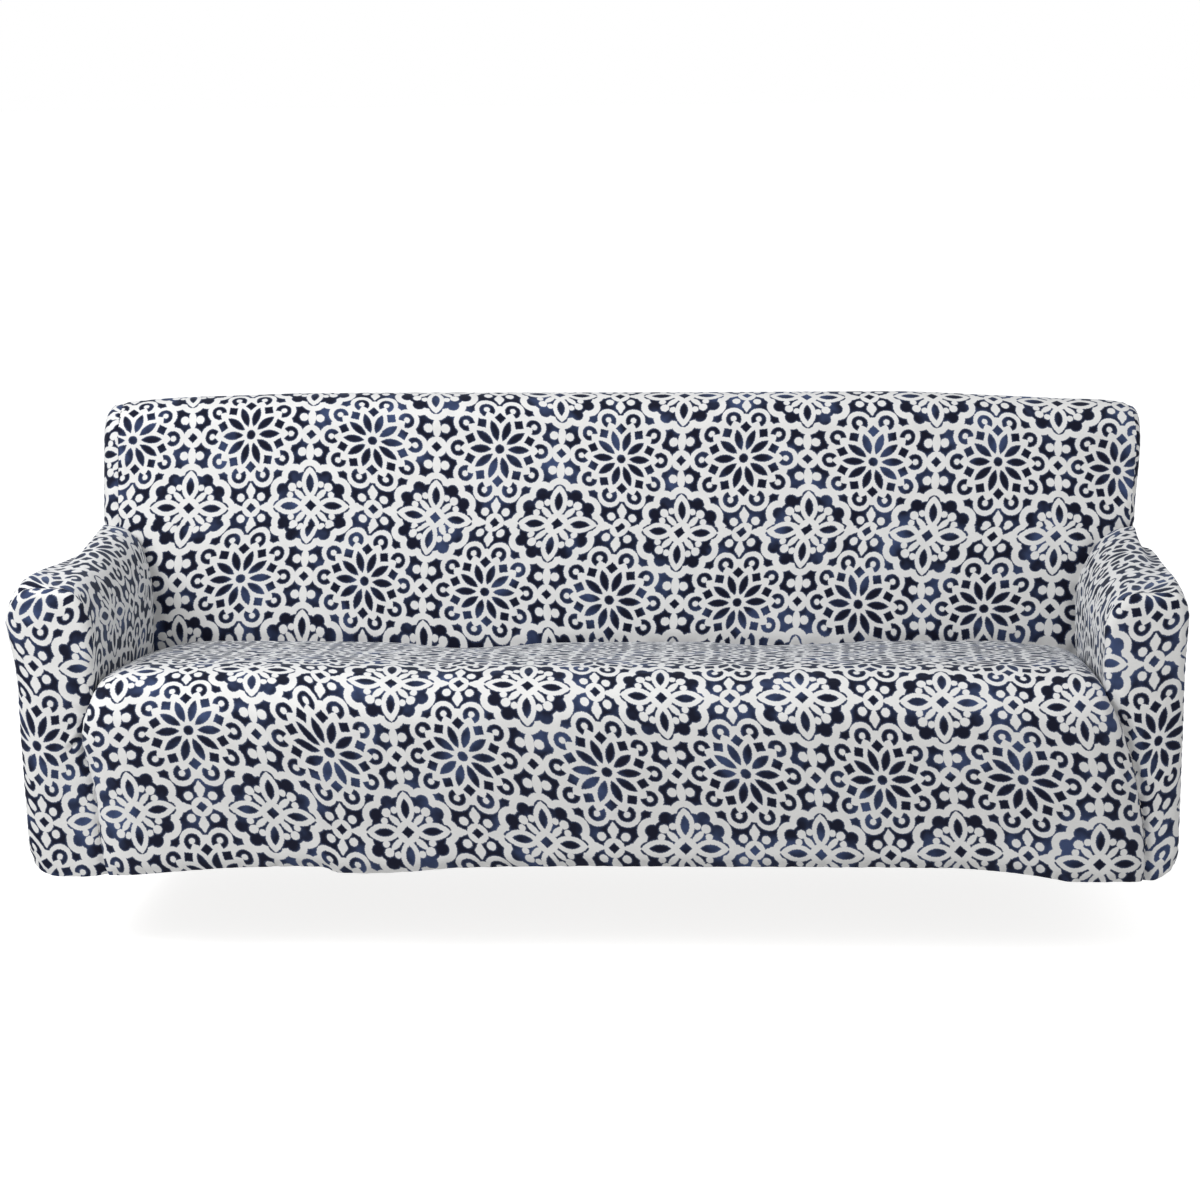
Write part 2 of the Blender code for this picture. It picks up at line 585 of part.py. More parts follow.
def make_seat():
    """The seat's top, its rolled front edge and the apron down to the hem, in one panel."""
    ends = {}
    for name, side in SIDES.items():
        ends[name] = np.vstack([seam_seat_arm(side), seam_seat_front(name)[1:]])
    left, right = ends["left"], ends["right"]
    top_rows = len(ARM_ALONG)
    depth = left[:top_rows, 1]
    height = np.interp(depth, SEAT_TOP[:, 0], SEAT_TOP[:, 1])
    middle = np.vstack([np.stack([depth, height], -1), [row["mid"] for row in SEAT_FRONT]])
    rows = len(middle)
    points = np.zeros((rows, len(ACROSS), 3))
    for k, (y, z) in enumerate(middle):
        x = blend(left[k, 0], right[k, 0], ACROSS)
        forward = smooth(k / (top_rows - 1))
        crease = (read(CREASE, x) - CREASE_Z) * (1 - min(k / 4, 1)) ** 1.5
        sag = cushion_dip(x) * forward
        on_top = smooth((rows - 1 - k) / 8)
        z_row = z + crease - sag * on_top * TOP_DIP
        y_row = np.full(len(x), y)
        if k == 0:
            y_row = inside_back_y(x, z_row)
        if k >= top_rows:
            y_row = y + sag * smooth((k - top_rows + 1) / 4) * on_top * APRON_DIP
        if k == rows - 1:
            z_row = read(HEM, x)
        row = np.stack([x, y_row, z_row], -1)
        round_width = blend(SEAT_END_REAR, SEAT_END_FRONT, forward)
        for edge, column in ((left[k], 0), (right[k], -1)):
            near = np.clip(1 - np.abs(x - x[column]) / round_width, 0, 1)
            row = row + rounding(1 - near, 1.0)[:, None] * (edge - row[column])
        points[k] = row
    normals = grid_normals(points, np.array([0, -0.7, 0.7]))
    return sheet("seat", points, normals)


def settle(panels):
    """Puts the origin under the middle of the whole cover, level with its lowest hem."""
    corners = np.array([v.co for panel in panels for v in panel.data.vertices])
    low, high = corners.min(0), corners.max(0)
    shift = -np.array([(low[0] + high[0]) / 2, (low[1] + high[1]) / 2, low[2]])
    for panel in panels:
        for vertex in panel.data.vertices:
            vertex.co += type(vertex.co)(shift)


def main():
    for leftover in list(bpy.data.objects):
        bpy.data.objects.remove(leftover, do_unlink=True)
    cover = bpy.data.objects.new("slipcover", None)
    bpy.context.scene.collection.objects.link(cover)
    panels = [make_back_inner(), make_back_outer(), make_seat()]
    for name in SIDES:
        panels += [make_gusset(name), make_arm(name), make_arm_front(name)]
    settle(panels)
    for panel in panels:
        panel.parent = cover


main()
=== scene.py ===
# Fitted stretch slipcover: nine sewn panels of printed velvet plush.
# Every panel is one thin sheet of cloth with its print laid out in real metres.

import math

import bpy
import numpy as np
from mathutils import Matrix, Vector


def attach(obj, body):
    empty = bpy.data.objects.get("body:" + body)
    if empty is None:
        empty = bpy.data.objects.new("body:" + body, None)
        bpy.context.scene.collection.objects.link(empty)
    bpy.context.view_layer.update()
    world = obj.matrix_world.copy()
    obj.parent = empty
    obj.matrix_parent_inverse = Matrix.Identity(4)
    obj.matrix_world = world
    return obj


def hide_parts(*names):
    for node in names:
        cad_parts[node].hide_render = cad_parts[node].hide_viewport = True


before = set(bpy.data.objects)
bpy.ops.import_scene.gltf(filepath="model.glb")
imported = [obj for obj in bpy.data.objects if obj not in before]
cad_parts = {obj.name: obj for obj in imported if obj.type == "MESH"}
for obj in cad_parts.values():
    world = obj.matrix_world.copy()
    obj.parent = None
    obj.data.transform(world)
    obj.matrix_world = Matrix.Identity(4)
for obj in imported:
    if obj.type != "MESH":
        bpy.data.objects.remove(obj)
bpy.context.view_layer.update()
print("frame loaded:", len(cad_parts), "nodes")


# small helpers
def smooth(t):
    t = np.clip(t, 0.0, 1.0)
    return t * t * (3 - 2 * t)


def blend(a, b, t):
    return a + (b - a) * t


def unit(v):
    return v / np.maximum(np.linalg.norm(v, axis=-1, keepdims=True), 1e-9)


def spline(knots, values, at, tight=False):
    # cubic through the values, its tangents from the parabola through each three; tight ones never overshoot
    knots, values, at = (np.asarray(x, float) for x in (knots, values, at))
    step = np.diff(knots).reshape(-1, *[1] * (values.ndim - 1))
    slope = np.diff(values, axis=0) / step
    tangent = np.empty_like(values)
    tangent[0], tangent[-1] = slope[0], slope[-1]
    tangent[1:-1] = (slope[:-1] * step[1:] + slope[1:] * step[:-1]) / (step[1:] + step[:-1])
    if tight:
        low = np.minimum(abs(slope[:-1]), abs(slope[1:])) * 3 * (slope[:-1] * slope[1:] > 0)
        tangent[1:-1] = np.clip(tangent[1:-1], -low, low)
    i = np.clip(np.searchsorted(knots, at, side="right") - 1, 0, len(knots) - 2)
    shape = (-1, *[1] * (values.ndim - 1))
    h = (knots[i + 1] - knots[i]).reshape(shape)
    t = np.clip((at - knots[i]).reshape(shape) / h, 0, 1)
    start = (1 + 2 * t) * (1 - t) ** 2 * values[i] + t * (1 - t) ** 2 * h * tangent[i]
    return start + t * t * (3 - 2 * t) * values[i + 1] + t * t * (t - 1) * h * tangent[i + 1]


def evenly(a, b, steps):
    return blend(np.array(a, float), np.array(b, float), np.linspace(0, 1, steps + 1)[:, None])


def graded(count, ends):
    # shares from 0 to 1 that lie closer together at both ends
    t = np.linspace(0, 1, count)
    return t - ends * np.sin(2 * np.pi * t) / (2 * np.pi)


# Heights and places are in metres, on the form that the cloth is pulled over. The two ends differ a little,
# as the cover sits unevenly.
sides = {
    "left": {
        "sign": -1,
        "innerX": 0.8945, "topZ": 0.528, "innerRun": 0.055, "innerDrop": 0.097,
        "outerX": 1.0525, "outerRun": 0.050, "outerDrop": 0.066, "hemX": 1.0265, "hemZ": 0.035,
        "waistX": 1.0380, "waistZ": 0.380, "shoulder": 0.021, "shoulderAt": 0.13, "rearShoulder": 0.006,
        "rearInnerX": 0.8975, "rearTopZ": 0.556, "rearRun": 0.077, "rearDrop": 0.148,
        "seatCornerZ": 0.345, "creaseZ": 0.306,
        "sideX": 1.0070, "corner": 0.034, "seamTurn": 0.0, "sideHemX": 1.000, "flare": 0.0,
    },
    "right": {
        "sign": 1,
        "innerX": 0.9035, "topZ": 0.519, "innerRun": 0.066, "innerDrop": 0.072,
        "outerX": 1.0525, "outerRun": 0.026, "outerDrop": 0.048, "hemX": 1.0415, "hemZ": 0.030,
        "waistX": 1.0480, "waistZ": 0.400, "shoulder": 0.017, "shoulderAt": 0.22, "rearShoulder": 0.014,
        "rearInnerX": 0.9070, "rearTopZ": 0.552, "rearRun": 0.1155, "rearDrop": 0.155,
        "seatCornerZ": 0.352, "creaseZ": 0.308,
        "sideX": 1.0270, "corner": 0.030, "seamTurn": math.radians(47.0), "sideHemX": 1.012,
        "flare": 0.012,
    },
}

# (x, height) along the front hem, the crease behind the seat and the top of the back
lines = {
    "hem": [
        (-1.0265, 0.035), (-1.0120, 0.016), (-0.9985, 0.005), (-0.9600, 0.000), (-0.9325, 0.000),
        (-0.8725, 0.006), (-0.7625, 0.017), (-0.5715, 0.027), (-0.4900, 0.027), (-0.4600, 0.017),
        (-0.4095, 0.015), (-0.3285, 0.019), (-0.2195, 0.027), (0.1925, 0.030), (0.6355, 0.029),
        (0.7415, 0.022), (0.8205, 0.011), (0.8475, 0.006), (0.9525, 0.004), (0.9825, 0.001),
        (1.0055, 0.002), (1.0215, 0.012), (1.0415, 0.030),
    ],
    "crease": [
        (-0.8975, 0.306), (-0.8735, 0.315), (-0.8335, 0.326), (-0.7635, 0.330), (-0.4115, 0.326),
        (-0.2915, 0.314), (-0.1945, 0.319), (-0.1095, 0.326), (0.1795, 0.328), (0.2985, 0.320),
        (0.4205, 0.324), (0.5385, 0.330), (0.7645, 0.330), (0.8065, 0.324), (0.8665, 0.318), (0.9070, 0.308),
    ],
    "top": [
        (-0.9745, 0.788), (-0.8815, 0.796), (-0.7300, 0.801), (-0.5800, 0.805), (0.1400, 0.803),
        (0.5500, 0.803), (0.7600, 0.794), (0.8770, 0.788), (0.9945, 0.779), (1.0235, 0.773),
    ],
}

# the seat in front of the arms, row by row down to the hem: the middle's (depth, height) and each seam's
# (x, height)
seatFront = {
    "mid": [
        (-0.3835, 0.3600), (-0.4005, 0.3440), (-0.4130, 0.3245), (-0.4205, 0.3015), (-0.4225, 0.2650),
        (-0.4215, 0.2100), (-0.4180, 0.1500), (-0.4135, 0.0900), (-0.4090, 0.0290),
    ],
    "left": [
        (0.8985, 0.334), (0.9055, 0.316), (0.9130, 0.294), (0.9175, 0.268), (0.9190, 0.240),
        (0.9080, 0.200), (0.8975, 0.150), (0.8935, 0.090), (0.8865, 0.0055),
    ],
    "right": [
        (0.9085, 0.341), (0.9170, 0.324), (0.9265, 0.305), (0.9360, 0.282), (0.9480, 0.248),
        (0.9595, 0.204), (0.9700, 0.150), (0.9795, 0.090), (0.9845, 0.0015),
    ],
}
# (depth, height) of the seat's middle, from its front edge back to the crease
seatTop = [
    (-0.3595, 0.3725), (-0.3350, 0.3780), (-0.3000, 0.3785), (-0.2400, 0.3755), (-0.1400, 0.3665),
    (0.0000, 0.3520), (0.1975, 0.3270),
]

# Rows of the seat are counted by its front, where each row given above is one.
seatForm = {
    "top": 8,  # rows that the top counts for
    "creaseOver": 4,
    "creaseFade": 1.5,
    "backOver": 0.35,  # rows that leave the inside back
    "endRear": 0.110,  # width of the rounding at its two ends
    "endFront": 0.100,
    "sag": 0.006,  # between its three paddings, then where and how wide
    "sagX": 0.295,
    "sagWidth": 0.05,
    "topSag": 0.7,  # shares of it on the top and the apron
    "apronSag": 0.5,
    "apronOver": 4,  # rows over which it passes to the apron
}

backForm = {
    "rearY": 0.4165,
    "creaseY": 0.1975,  # where the inside back meets the seat
    "creaseZ": 0.327,
    "faceTopY": 0.2596,  # where it passes into its top roll
    "faceTilt": math.radians(9.0),
    "rollHeight": 0.085,
    "padding": 0.018,
    "rearPadding": 0.006,
    "middleX": 0.023,
    "halfWidth": 0.996,
    "fullness": 6,  # the higher, the nearer to its sides the padding stays full
    "sag": 0.6,  # share of the seat's sag, and where on the way up it starts
    "sagFrom": 0.15,
    "sideZ": 0.50,  # where an end of the back meets the rear of an arm
    "hemZ": 0.004,
    "flareFrom": 0.55,  # heights between which its right end flares out
    "flareOver": 0.17,
    "endShare": 0.07,  # share of its width over which it meets the seam at each end
    "turnOver": 0.14,  # width over which it gives way beside its ends
    "turnFrom": 0.40,  # height from which it does, and over how much
    "turnRise": 0.15,
}

armForm = {
    "frontY": -0.3775,
    "edge": 0.018,  # radius between its front and its top and outside
    "waistBelow": 0.12,  # the outside is straight for this far under its waist
    "seamClear": 0.012,  # the seam down its front is clear of the radius from here in
    "crown": 0.007,  # padding of its front
    "crownOver": (0.08, 0.95),  # of half a wave, up the front
    "crownEdge": 0.04,
    "cornerShare": 0.20,  # of its length, taken by its rear corner
    "hemSinks": 7,  # the higher, the nearer to the front the hem has sunk to its rear height
    "sinkFrom": -1.5,  # share of its rows that this reaches up to
    "swellOut": 0.55,  # which way the cloth on its top swells
    "swellUp": 0.835,
    "swellEnds": 1.25,  # in lengths of the outer rounding
    "rearSwell": 0.57,  # place, width and end of the rear swell, in shares of its length
    "rearWidth": 0.20,
    "rearFade": 0.3,
}

# how finely the sheets are drawn: shares across and along them, then steps
fine = {
    "across": graded(281, 0.62),
    "along": graded(85, 0.55),
    "gusset": graded(31, 0.45),
    "front": graded(45, 0.70),
    "armFace": 30,
    "armRound": 22,
    "outerRound": 16,
    "outerFace": 44,
    "gussetFace": 34,
    "roll": 40,
    "rollSide": 8,
    "apron": 9,
}


def heightAlong(name, x):
    table = np.array(lines[name])
    x = np.asarray(x, float)
    return spline(table[:, 0], table[:, 1], x.ravel(), tight=True).reshape(x.shape)


def sagAt(x):
    gap, width = seatForm["sagX"], seatForm["sagWidth"]
    return seatForm["sag"] * sum(np.exp(-(((x - at) / width) ** 2)) for at in (-gap, gap))


rollDepth = (backForm["rearY"] - backForm["faceTopY"]) / 2
rollY = (backForm["rearY"] + backForm["faceTopY"]) / 2


def rollCentre(x):
    return heightAlong("top", x) - backForm["rollHeight"]


def faceY(z, rollZ):
    start = rollZ + backForm["rollHeight"] * math.sin(backForm["faceTilt"])
    top = rollY - rollDepth * math.cos(backForm["faceTilt"])
    return blend(backForm["creaseY"], top, (z - backForm["creaseZ"]) / (start - backForm["creaseZ"]))


def insideBackY(x, z):
    # padded depth of the inside back
    start = rollCentre(x) + backForm["rollHeight"] * math.sin(backForm["faceTilt"])
    height = np.clip((z - backForm["creaseZ"]) / (start - backForm["creaseZ"]), 0, 1)
    fromMiddle = np.clip(np.abs(x - backForm["middleX"]) / backForm["halfWidth"], 0, 1)
    padding = backForm["padding"] * np.sin(np.pi * height) * (1 - fromMiddle ** backForm["fullness"])
    rise = np.clip(backForm["sagFrom"] + height, 0, 1)
    return faceY(z, rollCentre(x)) - padding + backForm["sag"] * sagAt(x) * np.sin(np.pi * rise)


def rollAngles():
    return np.linspace(backForm["faceTilt"], np.pi, fine["roll"] + 1)


def rollPoint(angle, rollZ):
    return rollY - rollDepth * np.cos(angle), rollZ + backForm["rollHeight"] * np.sin(angle)


# outline of an arm's front
def armOutline(side):
    # inner, top and outer runs as (distance from the middle, height)
    innerX, topZ = side["innerX"], side["topZ"]
    flatFrom, flatTo = innerX + side["innerRun"], side["outerX"] - side["outerRun"]
    faceTop = topZ - side["innerDrop"]
    inner = evenly((innerX, side["seatCornerZ"]), (innerX, faceTop), fine["armFace"])
    turn = np.linspace(0, np.pi / 2, fine["armRound"] + 1)[1:]
    innerRound = np.stack(
        [innerX + side["innerRun"] * (1 - np.cos(turn)), faceTop + side["innerDrop"] * np.sin(turn)], -1
    )
    top = evenly((flatFrom, topZ), (flatTo, topZ), len(fine["gusset"]) - 1)
    turn = np.linspace(np.pi / 2, 0, fine["outerRound"] + 1)
    widestZ = topZ - side["outerDrop"]
    outerRound = np.stack(
        [flatTo + side["outerRun"] * np.cos(turn), widestZ + side["outerDrop"] * np.sin(turn)], -1
    )
    height = np.linspace(widestZ, side["hemZ"], fine["outerFace"] + 1)[1:]
    below = armForm["waistBelow"]
    knots = [side["hemZ"], side["waistZ"] - below, side["waistZ"], widestZ]
    lower = blend(side["waistX"], side["hemX"], below / (side["waistZ"] - side["hemZ"]))
    width = spline(knots, [side["hemX"], lower, side["waistX"], side["outerX"]], height[::-1])[::-1]
    return np.vstack([inner, innerRound]), top, np.vstack([outerRound, np.stack([width, height], -1)])


def densely(points, step=0.002):
    pairs = zip(points[:-1], points[1:])
    parts = [evenly(a, b, max(1, int(np.linalg.norm(b - a) / step)))[:-1] for a, b in pairs]
    return np.vstack([*parts, points[-1:]])


def roundedOutline(side):
    inner, top, outer = armOutline(side)
    # it runs on inwards, well under the seat's corner, where nothing is rounded
    onwards = inner[0] - np.array([(0.30, 0.10), (0.05, 0.03)])
    return densely(np.vstack([onwards, inner, top[1:], outer[1:]]))


def edgeDistance(points, outline):
    # how far each flat point lies from the outline
    away = outline[None] - points.reshape(-1, 2)[:, None]
    return np.linalg.norm(away, axis=-1).min(1).reshape(points.shape[:-1])


def rounding(distance, radius):
    return radius - np.sqrt(np.maximum(radius**2 - np.maximum(radius - distance, 0) ** 2, 0))


# seams that two panels share
def seatRows(name):
    # the seat's seam down an arm's front face, from its upper corner, as (distance from the middle, height)
    side = sides[name]
    rows = np.array([(side["innerX"], side["seatCornerZ"])] + seatFront[name])
    last = len(rows) - 1
    return spline(np.arange(last + 1), rows, np.linspace(0, last, fine["apron"] * last + 1))


def seamSeatArm(side):
    along = 1 - fine["along"][::-1]
    start = (
        side["rearInnerX"],
        backForm["creaseY"] + (side["creaseZ"] - backForm["creaseZ"]) * math.tan(backForm["faceTilt"]),
        side["creaseZ"],
    )
    end = (side["innerX"], armForm["frontY"] + armForm["edge"], side["seatCornerZ"])
    points = blend(np.array(start), np.array(end), along[:, None])
    points[:, 0] *= side["sign"]
    return points


def seamSeatFront(name):
    side = sides[name]
    flat = seatRows(name)
    distance = edgeDistance(flat, roundedOutline(side))
    depth = armForm["frontY"] + rounding(distance, armForm["edge"])
    below = smooth(np.arange(len(flat)) / fine["apron"])
    clear = np.minimum(distance / armForm["seamClear"], 1)
    depth = blend(armForm["frontY"] + armForm["edge"], depth, np.maximum(below, clear))
    depth[0] = armForm["frontY"] + armForm["edge"]
    return np.stack([side["sign"] * flat[:, 0], depth, flat[:, 1]], -1)


def armAgainstBack(side):
    faceTop = side["rearTopZ"] - side["rearDrop"]
    x = side["rearInnerX"]
    face = evenly((x, side["creaseZ"]), (x, faceTop), fine["armFace"])
    turn = np.linspace(0, np.pi / 2, fine["armRound"] + 1)[1:]
    top = np.stack([x + side["rearRun"] * (1 - np.cos(turn)), faceTop + side["rearDrop"] * np.sin(turn)], -1)
    x, z = side["sign"] * np.vstack([face, top])[:, 0], np.vstack([face, top])[:, 1]
    return np.stack([x, insideBackY(x, z), z], -1)


def gussetProfile(side):
    foot = armAgainstBack(side)[-1]
    rollZ = float(rollCentre(side["sign"] * (side["sideX"] - side["corner"])))
    startZ = rollZ + backForm["rollHeight"] * math.sin(backForm["faceTilt"])
    z = np.linspace(foot[2], startZ, fine["gussetFace"] + 1)
    angles = rollAngles()[1:]
    roll = np.stack(rollPoint(angles, rollZ), -1)
    profile = np.vstack([np.stack([faceY(z, rollZ), z], -1), roll])
    return profile, np.concatenate([np.full(len(z), backForm["faceTilt"]), angles])


def flare(side, z):
    return side["flare"] * smooth((z - backForm["flareFrom"]) / backForm["flareOver"])


def seamGussetFront(side):
    profile, angles = gussetProfile(side)
    share = np.concatenate([np.zeros(fine["gussetFace"]), np.linspace(0, 1, fine["roll"] + 1)])
    turns = side["seamTurn"] * (1 - smooth(share))[:, None]
    normal = np.stack([-np.cos(angles), np.sin(angles)], -1)
    flat = profile - side["corner"] * (1 - np.cos(turns)) * normal
    x = side["sideX"] - side["corner"] + side["corner"] * np.sin(turns[:, 0]) + flare(side, profile[:, 1])
    return np.stack([side["sign"] * x, flat[:, 0], flat[:, 1]], -1)


def cornerTurn(side, x, z):
    # how the inside back gives way beside the gusset's front corner, above the arm
    corner = seamGussetFront(side)[0]
    nearEnd = smooth((side["sign"] * (x - corner[0]) + backForm["turnOver"]) / backForm["turnOver"])
    share = nearEnd * smooth((z - backForm["turnFrom"]) / backForm["turnRise"])
    return share[:, None] * (corner - armAgainstBack(side)[-1])


def seamArmBack(side):
    points = armAgainstBack(side)
    return points + cornerTurn(side, points[:, 0], points[:, 2])


def gussetX(side, flat):
    profile, _ = gussetProfile(side)
    foot = (backForm["rearY"], backForm["sideZ"] - 0.2)  # well below the gusset
    outline = densely(np.vstack([profile, [foot]]), step=0.001)
    distance = edgeDistance(flat, outline)
    return side["sideX"] - rounding(distance, side["corner"]) + flare(side, flat[..., 1])


def seamGussetFoot(side):
    start = seamGussetFront(side)[0]
    y = blend(start[1], backForm["rearY"], fine["gusset"])
    z = blend(start[2], backForm["sideZ"], smooth((y - start[1]) / (backForm["rearY"] - start[1])))
    x = gussetX(side, np.stack([y, z], -1))
    points = np.stack([side["sign"] * x, y, z], -1)
    points[0] = start
    points[-1, 0] = side["sign"] * (side["sideX"] - side["corner"])
    return points


def seamRearSide(side):
    z = np.linspace(backForm["sideZ"], backForm["hemZ"], fine["outerRound"] + fine["outerFace"] + 1)
    x = blend(side["sideX"], side["sideHemX"], (backForm["sideZ"] - z) / backForm["sideZ"]) - side["corner"]
    return np.stack([side["sign"] * x, np.full(len(z), backForm["rearY"]), z], -1)


def seamGussetRear(side):
    end = seamGussetFront(side)[-1]
    z = np.linspace(backForm["sideZ"], end[2], fine["gussetFace"] + 1)
    x = side["sideX"] - side["corner"] + flare(side, z)
    return np.stack([side["sign"] * x, np.full(len(z), backForm["rearY"]), z], -1)


def patch(low, high, first, last, across):
    # a grid between four edges
    rows = np.linspace(0, 1, len(low))[:, None, None]
    columns = across[None, :, None]
    ruled = blend(low[:, None], high[:, None], columns) + blend(first[None], last[None], rows)
    return ruled - blend(blend(first[:1], first[-1:], columns), blend(last[:1], last[-1:], columns), rows)


# panels as grids of points
def gridNormals(points, outward):
    # averaged over neighbours by area, so the slivers in a panel's corners don't tip its underside out
    normals = np.cross(np.gradient(points, axis=0), np.gradient(points, axis=1))
    for _ in range(3):
        for axis in (0, 1):
            padded = np.pad(normals, [(1, 1) if k == axis else (0, 0) for k in range(3)], mode="edge")
            normals = sum(np.take(padded, np.arange(k, k + points.shape[axis]), axis) for k in range(3)) / 3
    normals = unit(normals)
    return normals * np.sign((normals * np.array(outward, float)).sum(-1).mean())


def armGrid(name):
    side = sides[name]
    along = fine["along"]
    inner, top, outer = armOutline(side)
    front = np.vstack([inner, top[1:], outer[1:]])
    frontEdge = np.full(len(front), armForm["frontY"] + armForm["edge"])
    starts = np.stack([side["sign"] * front[:, 0], frontEdge, front[:, 1]], -1)
    ends = np.vstack([seamArmBack(side), seamGussetFoot(side)[1:], seamRearSide(side)[1:]])
    points = blend(starts[:, None], ends[:, None], along[None, :, None])
    for i in np.flatnonzero(ends[:, 1] > backForm["rearY"] - side["corner"]):
        turn = math.asin(min(1 - (backForm["rearY"] - ends[i, 1]) / side["corner"], 1))
        wall = abs(ends[i, 0]) + side["corner"] * (1 - math.cos(turn))
        corner = np.array([side["sign"] * wall, backForm["rearY"] - side["corner"], ends[i, 2]])
        cornerFrom = 1 - armForm["cornerShare"] * turn / (np.pi / 2)
        straight = along <= cornerFrom
        points[i, straight] = blend(starts[i], corner, (along[straight] / cornerFrom)[:, None])
        angle = turn * (along[~straight] - cornerFrom) / (1 - cornerFrom)
        bend = np.stack([side["sign"] * (np.cos(angle) - 1), np.sin(angle), np.zeros(len(angle))], -1)
        points[i, ~straight] = corner + side["corner"] * bend
    hem = backForm["hemZ"] + (side["hemZ"] - backForm["hemZ"]) * (1 - along) ** armForm["hemSinks"]
    weight = smooth(np.linspace(armForm["sinkFrom"], 1, len(points)))[:, None]
    points[..., 2] += weight * (hem - points[-1, :, 2])[None]
    rows = np.arange(len(points))
    outerFrom = len(inner) + len(top) - 2
    over = smooth((rows - len(inner)) / len(top))
    over *= 1 - smooth((rows - outerFrom) / (fine["outerRound"] * armForm["swellEnds"]))
    back = np.clip((points[..., 1] - frontEdge[0]) / (backForm["rearY"] - frontEdge[0]), 0, 1)
    swell = side["shoulder"] * np.sin(np.pi * back ** (np.log(0.5) / np.log(side["shoulderAt"]))) ** 2
    rear = np.exp(-(((back - armForm["rearSwell"]) / armForm["rearWidth"]) ** 2))
    swell += side["rearShoulder"] * rear * smooth((1 - back) / armForm["rearFade"])
    way = (side["sign"] * armForm["swellOut"], 0, armForm["swellUp"])
    return points + (over[:, None] * swell)[..., None] * way


def armFrontGrid(name):
    side = sides[name]
    inner, _, outer = armOutline(side)
    seam = seamSeatFront(name)[::-1]
    low = np.vstack([np.stack([abs(seam[:, 0]), seam[:, 2]], -1), inner[1:]])
    outline = outer[::-1]
    reach = np.concatenate([[0], np.cumsum(np.linalg.norm(np.diff(outline, axis=0), axis=1))])
    even = np.linspace(0, reach[-1], len(low))
    high = np.stack([np.interp(even, reach, outline[:, k]) for k in (0, 1)], -1)
    across = fine["front"]
    hemX = blend(low[0, 0], high[0, 0], across)
    first = np.stack([hemX, heightAlong("hem", side["sign"] * hemX)], -1)
    first[0], first[-1] = low[0], high[0]
    last = blend(low[-1], high[-1], across[:, None])
    flat = patch(low, high, first, last, across)
    distance = edgeDistance(flat, roundedOutline(side))
    distance[len(seam) - 1 :, 0] = distance[:, -1] = distance[-1] = 0
    rise = np.linspace(*armForm["crownOver"], len(low))
    crown = np.sin(np.pi * across)[None] * np.sin(np.pi * rise)[:, None]
    depth = armForm["frontY"] + rounding(distance, armForm["edge"])
    depth -= armForm["crown"] * crown * smooth(distance / armForm["crownEdge"])
    depth[: len(seam), 0] = seam[:, 1]
    return np.stack([side["sign"] * flat[..., 0], depth, flat[..., 1]], -1)


def backInnerGrid():
    edges = []
    for side in sides.values():
        edges.append(np.vstack([seamArmBack(side), seamGussetFront(side)[1:]]))
    left, right = edges
    foot = fine["armFace"] + fine["armRound"]
    rollFrom = foot + fine["gussetFace"]
    across = fine["across"]
    angles = rollAngles()
    points = np.zeros((len(left), len(across), 3))
    for k in range(len(left)):
        x = blend(left[k, 0], right[k, 0], across)
        z = blend(left[k, 2], right[k, 2], across)
        if k <= foot:
            z = z + (heightAlong("crease", x) - blend(left[0, 2], right[0, 2], across)) * (1 - k / foot) ** 2
        if k >= rollFrom:
            y, z = rollPoint(angles[k - rollFrom], rollCentre(x))
            y = np.full(len(x), y)
        else:
            start = rollCentre(x) + backForm["rollHeight"] * math.sin(backForm["faceTilt"])
            z = blend(z, start, smooth((k - foot) / fine["gussetFace"]))
            y = insideBackY(x, z)
            if k <= foot:
                y = y + sum(cornerTurn(side, x, z)[:, 1] for side in sides.values())
        points[k] = np.stack([x, y, z], -1)
    for edge, column, share in ((left, 0, across), (right, -1, 1 - across)):
        near = 1 - smooth(share / backForm["endShare"])
        points += near[None, :, None] * (edge - points[:, column])[:, None]
    return points


def gussetGrid(name):
    side = sides[name]
    front, foot, rear = seamGussetFront(side), seamGussetFoot(side), seamGussetRear(side)
    cut, rollSide = fine["gussetFace"] + fine["rollSide"], fine["rollSide"]
    low = front[: cut + 1]
    high = np.vstack([rear, front[::-1][1 : rollSide + 1]])
    last = front[cut : len(front) - rollSide]
    last = spline(np.linspace(0, 1, len(last)), last, fine["gusset"])
    flat = patch(low[:, 1:], high[:, 1:], foot[:, 1:], last[:, 1:], fine["gusset"])
    points = np.concatenate([side["sign"] * gussetX(side, flat)[..., None], flat], -1)
    points[:, 0], points[:, -1], points[0], points[-1] = low, high, foot, last
    return points


def backOuterGrid():
    left, right = (np.vstack([seamRearSide(s)[::-1], seamGussetRear(s)[1:]]) for s in sides.values())
    across = fine["across"][::2]
    top = blend(left[-1], right[-1], across[:, None])
    top[:, 2] = rollCentre(top[:, 0])
    top[0], top[-1] = left[-1], right[-1]
    points = patch(left, right, blend(left[0], right[0], across[:, None]), top, across)
    rise = np.linspace(0, 1, len(left))[:, None]
    points[..., 1] += backForm["rearPadding"] * np.sin(np.pi * rise) * np.sin(np.pi * across)[None]
    return points


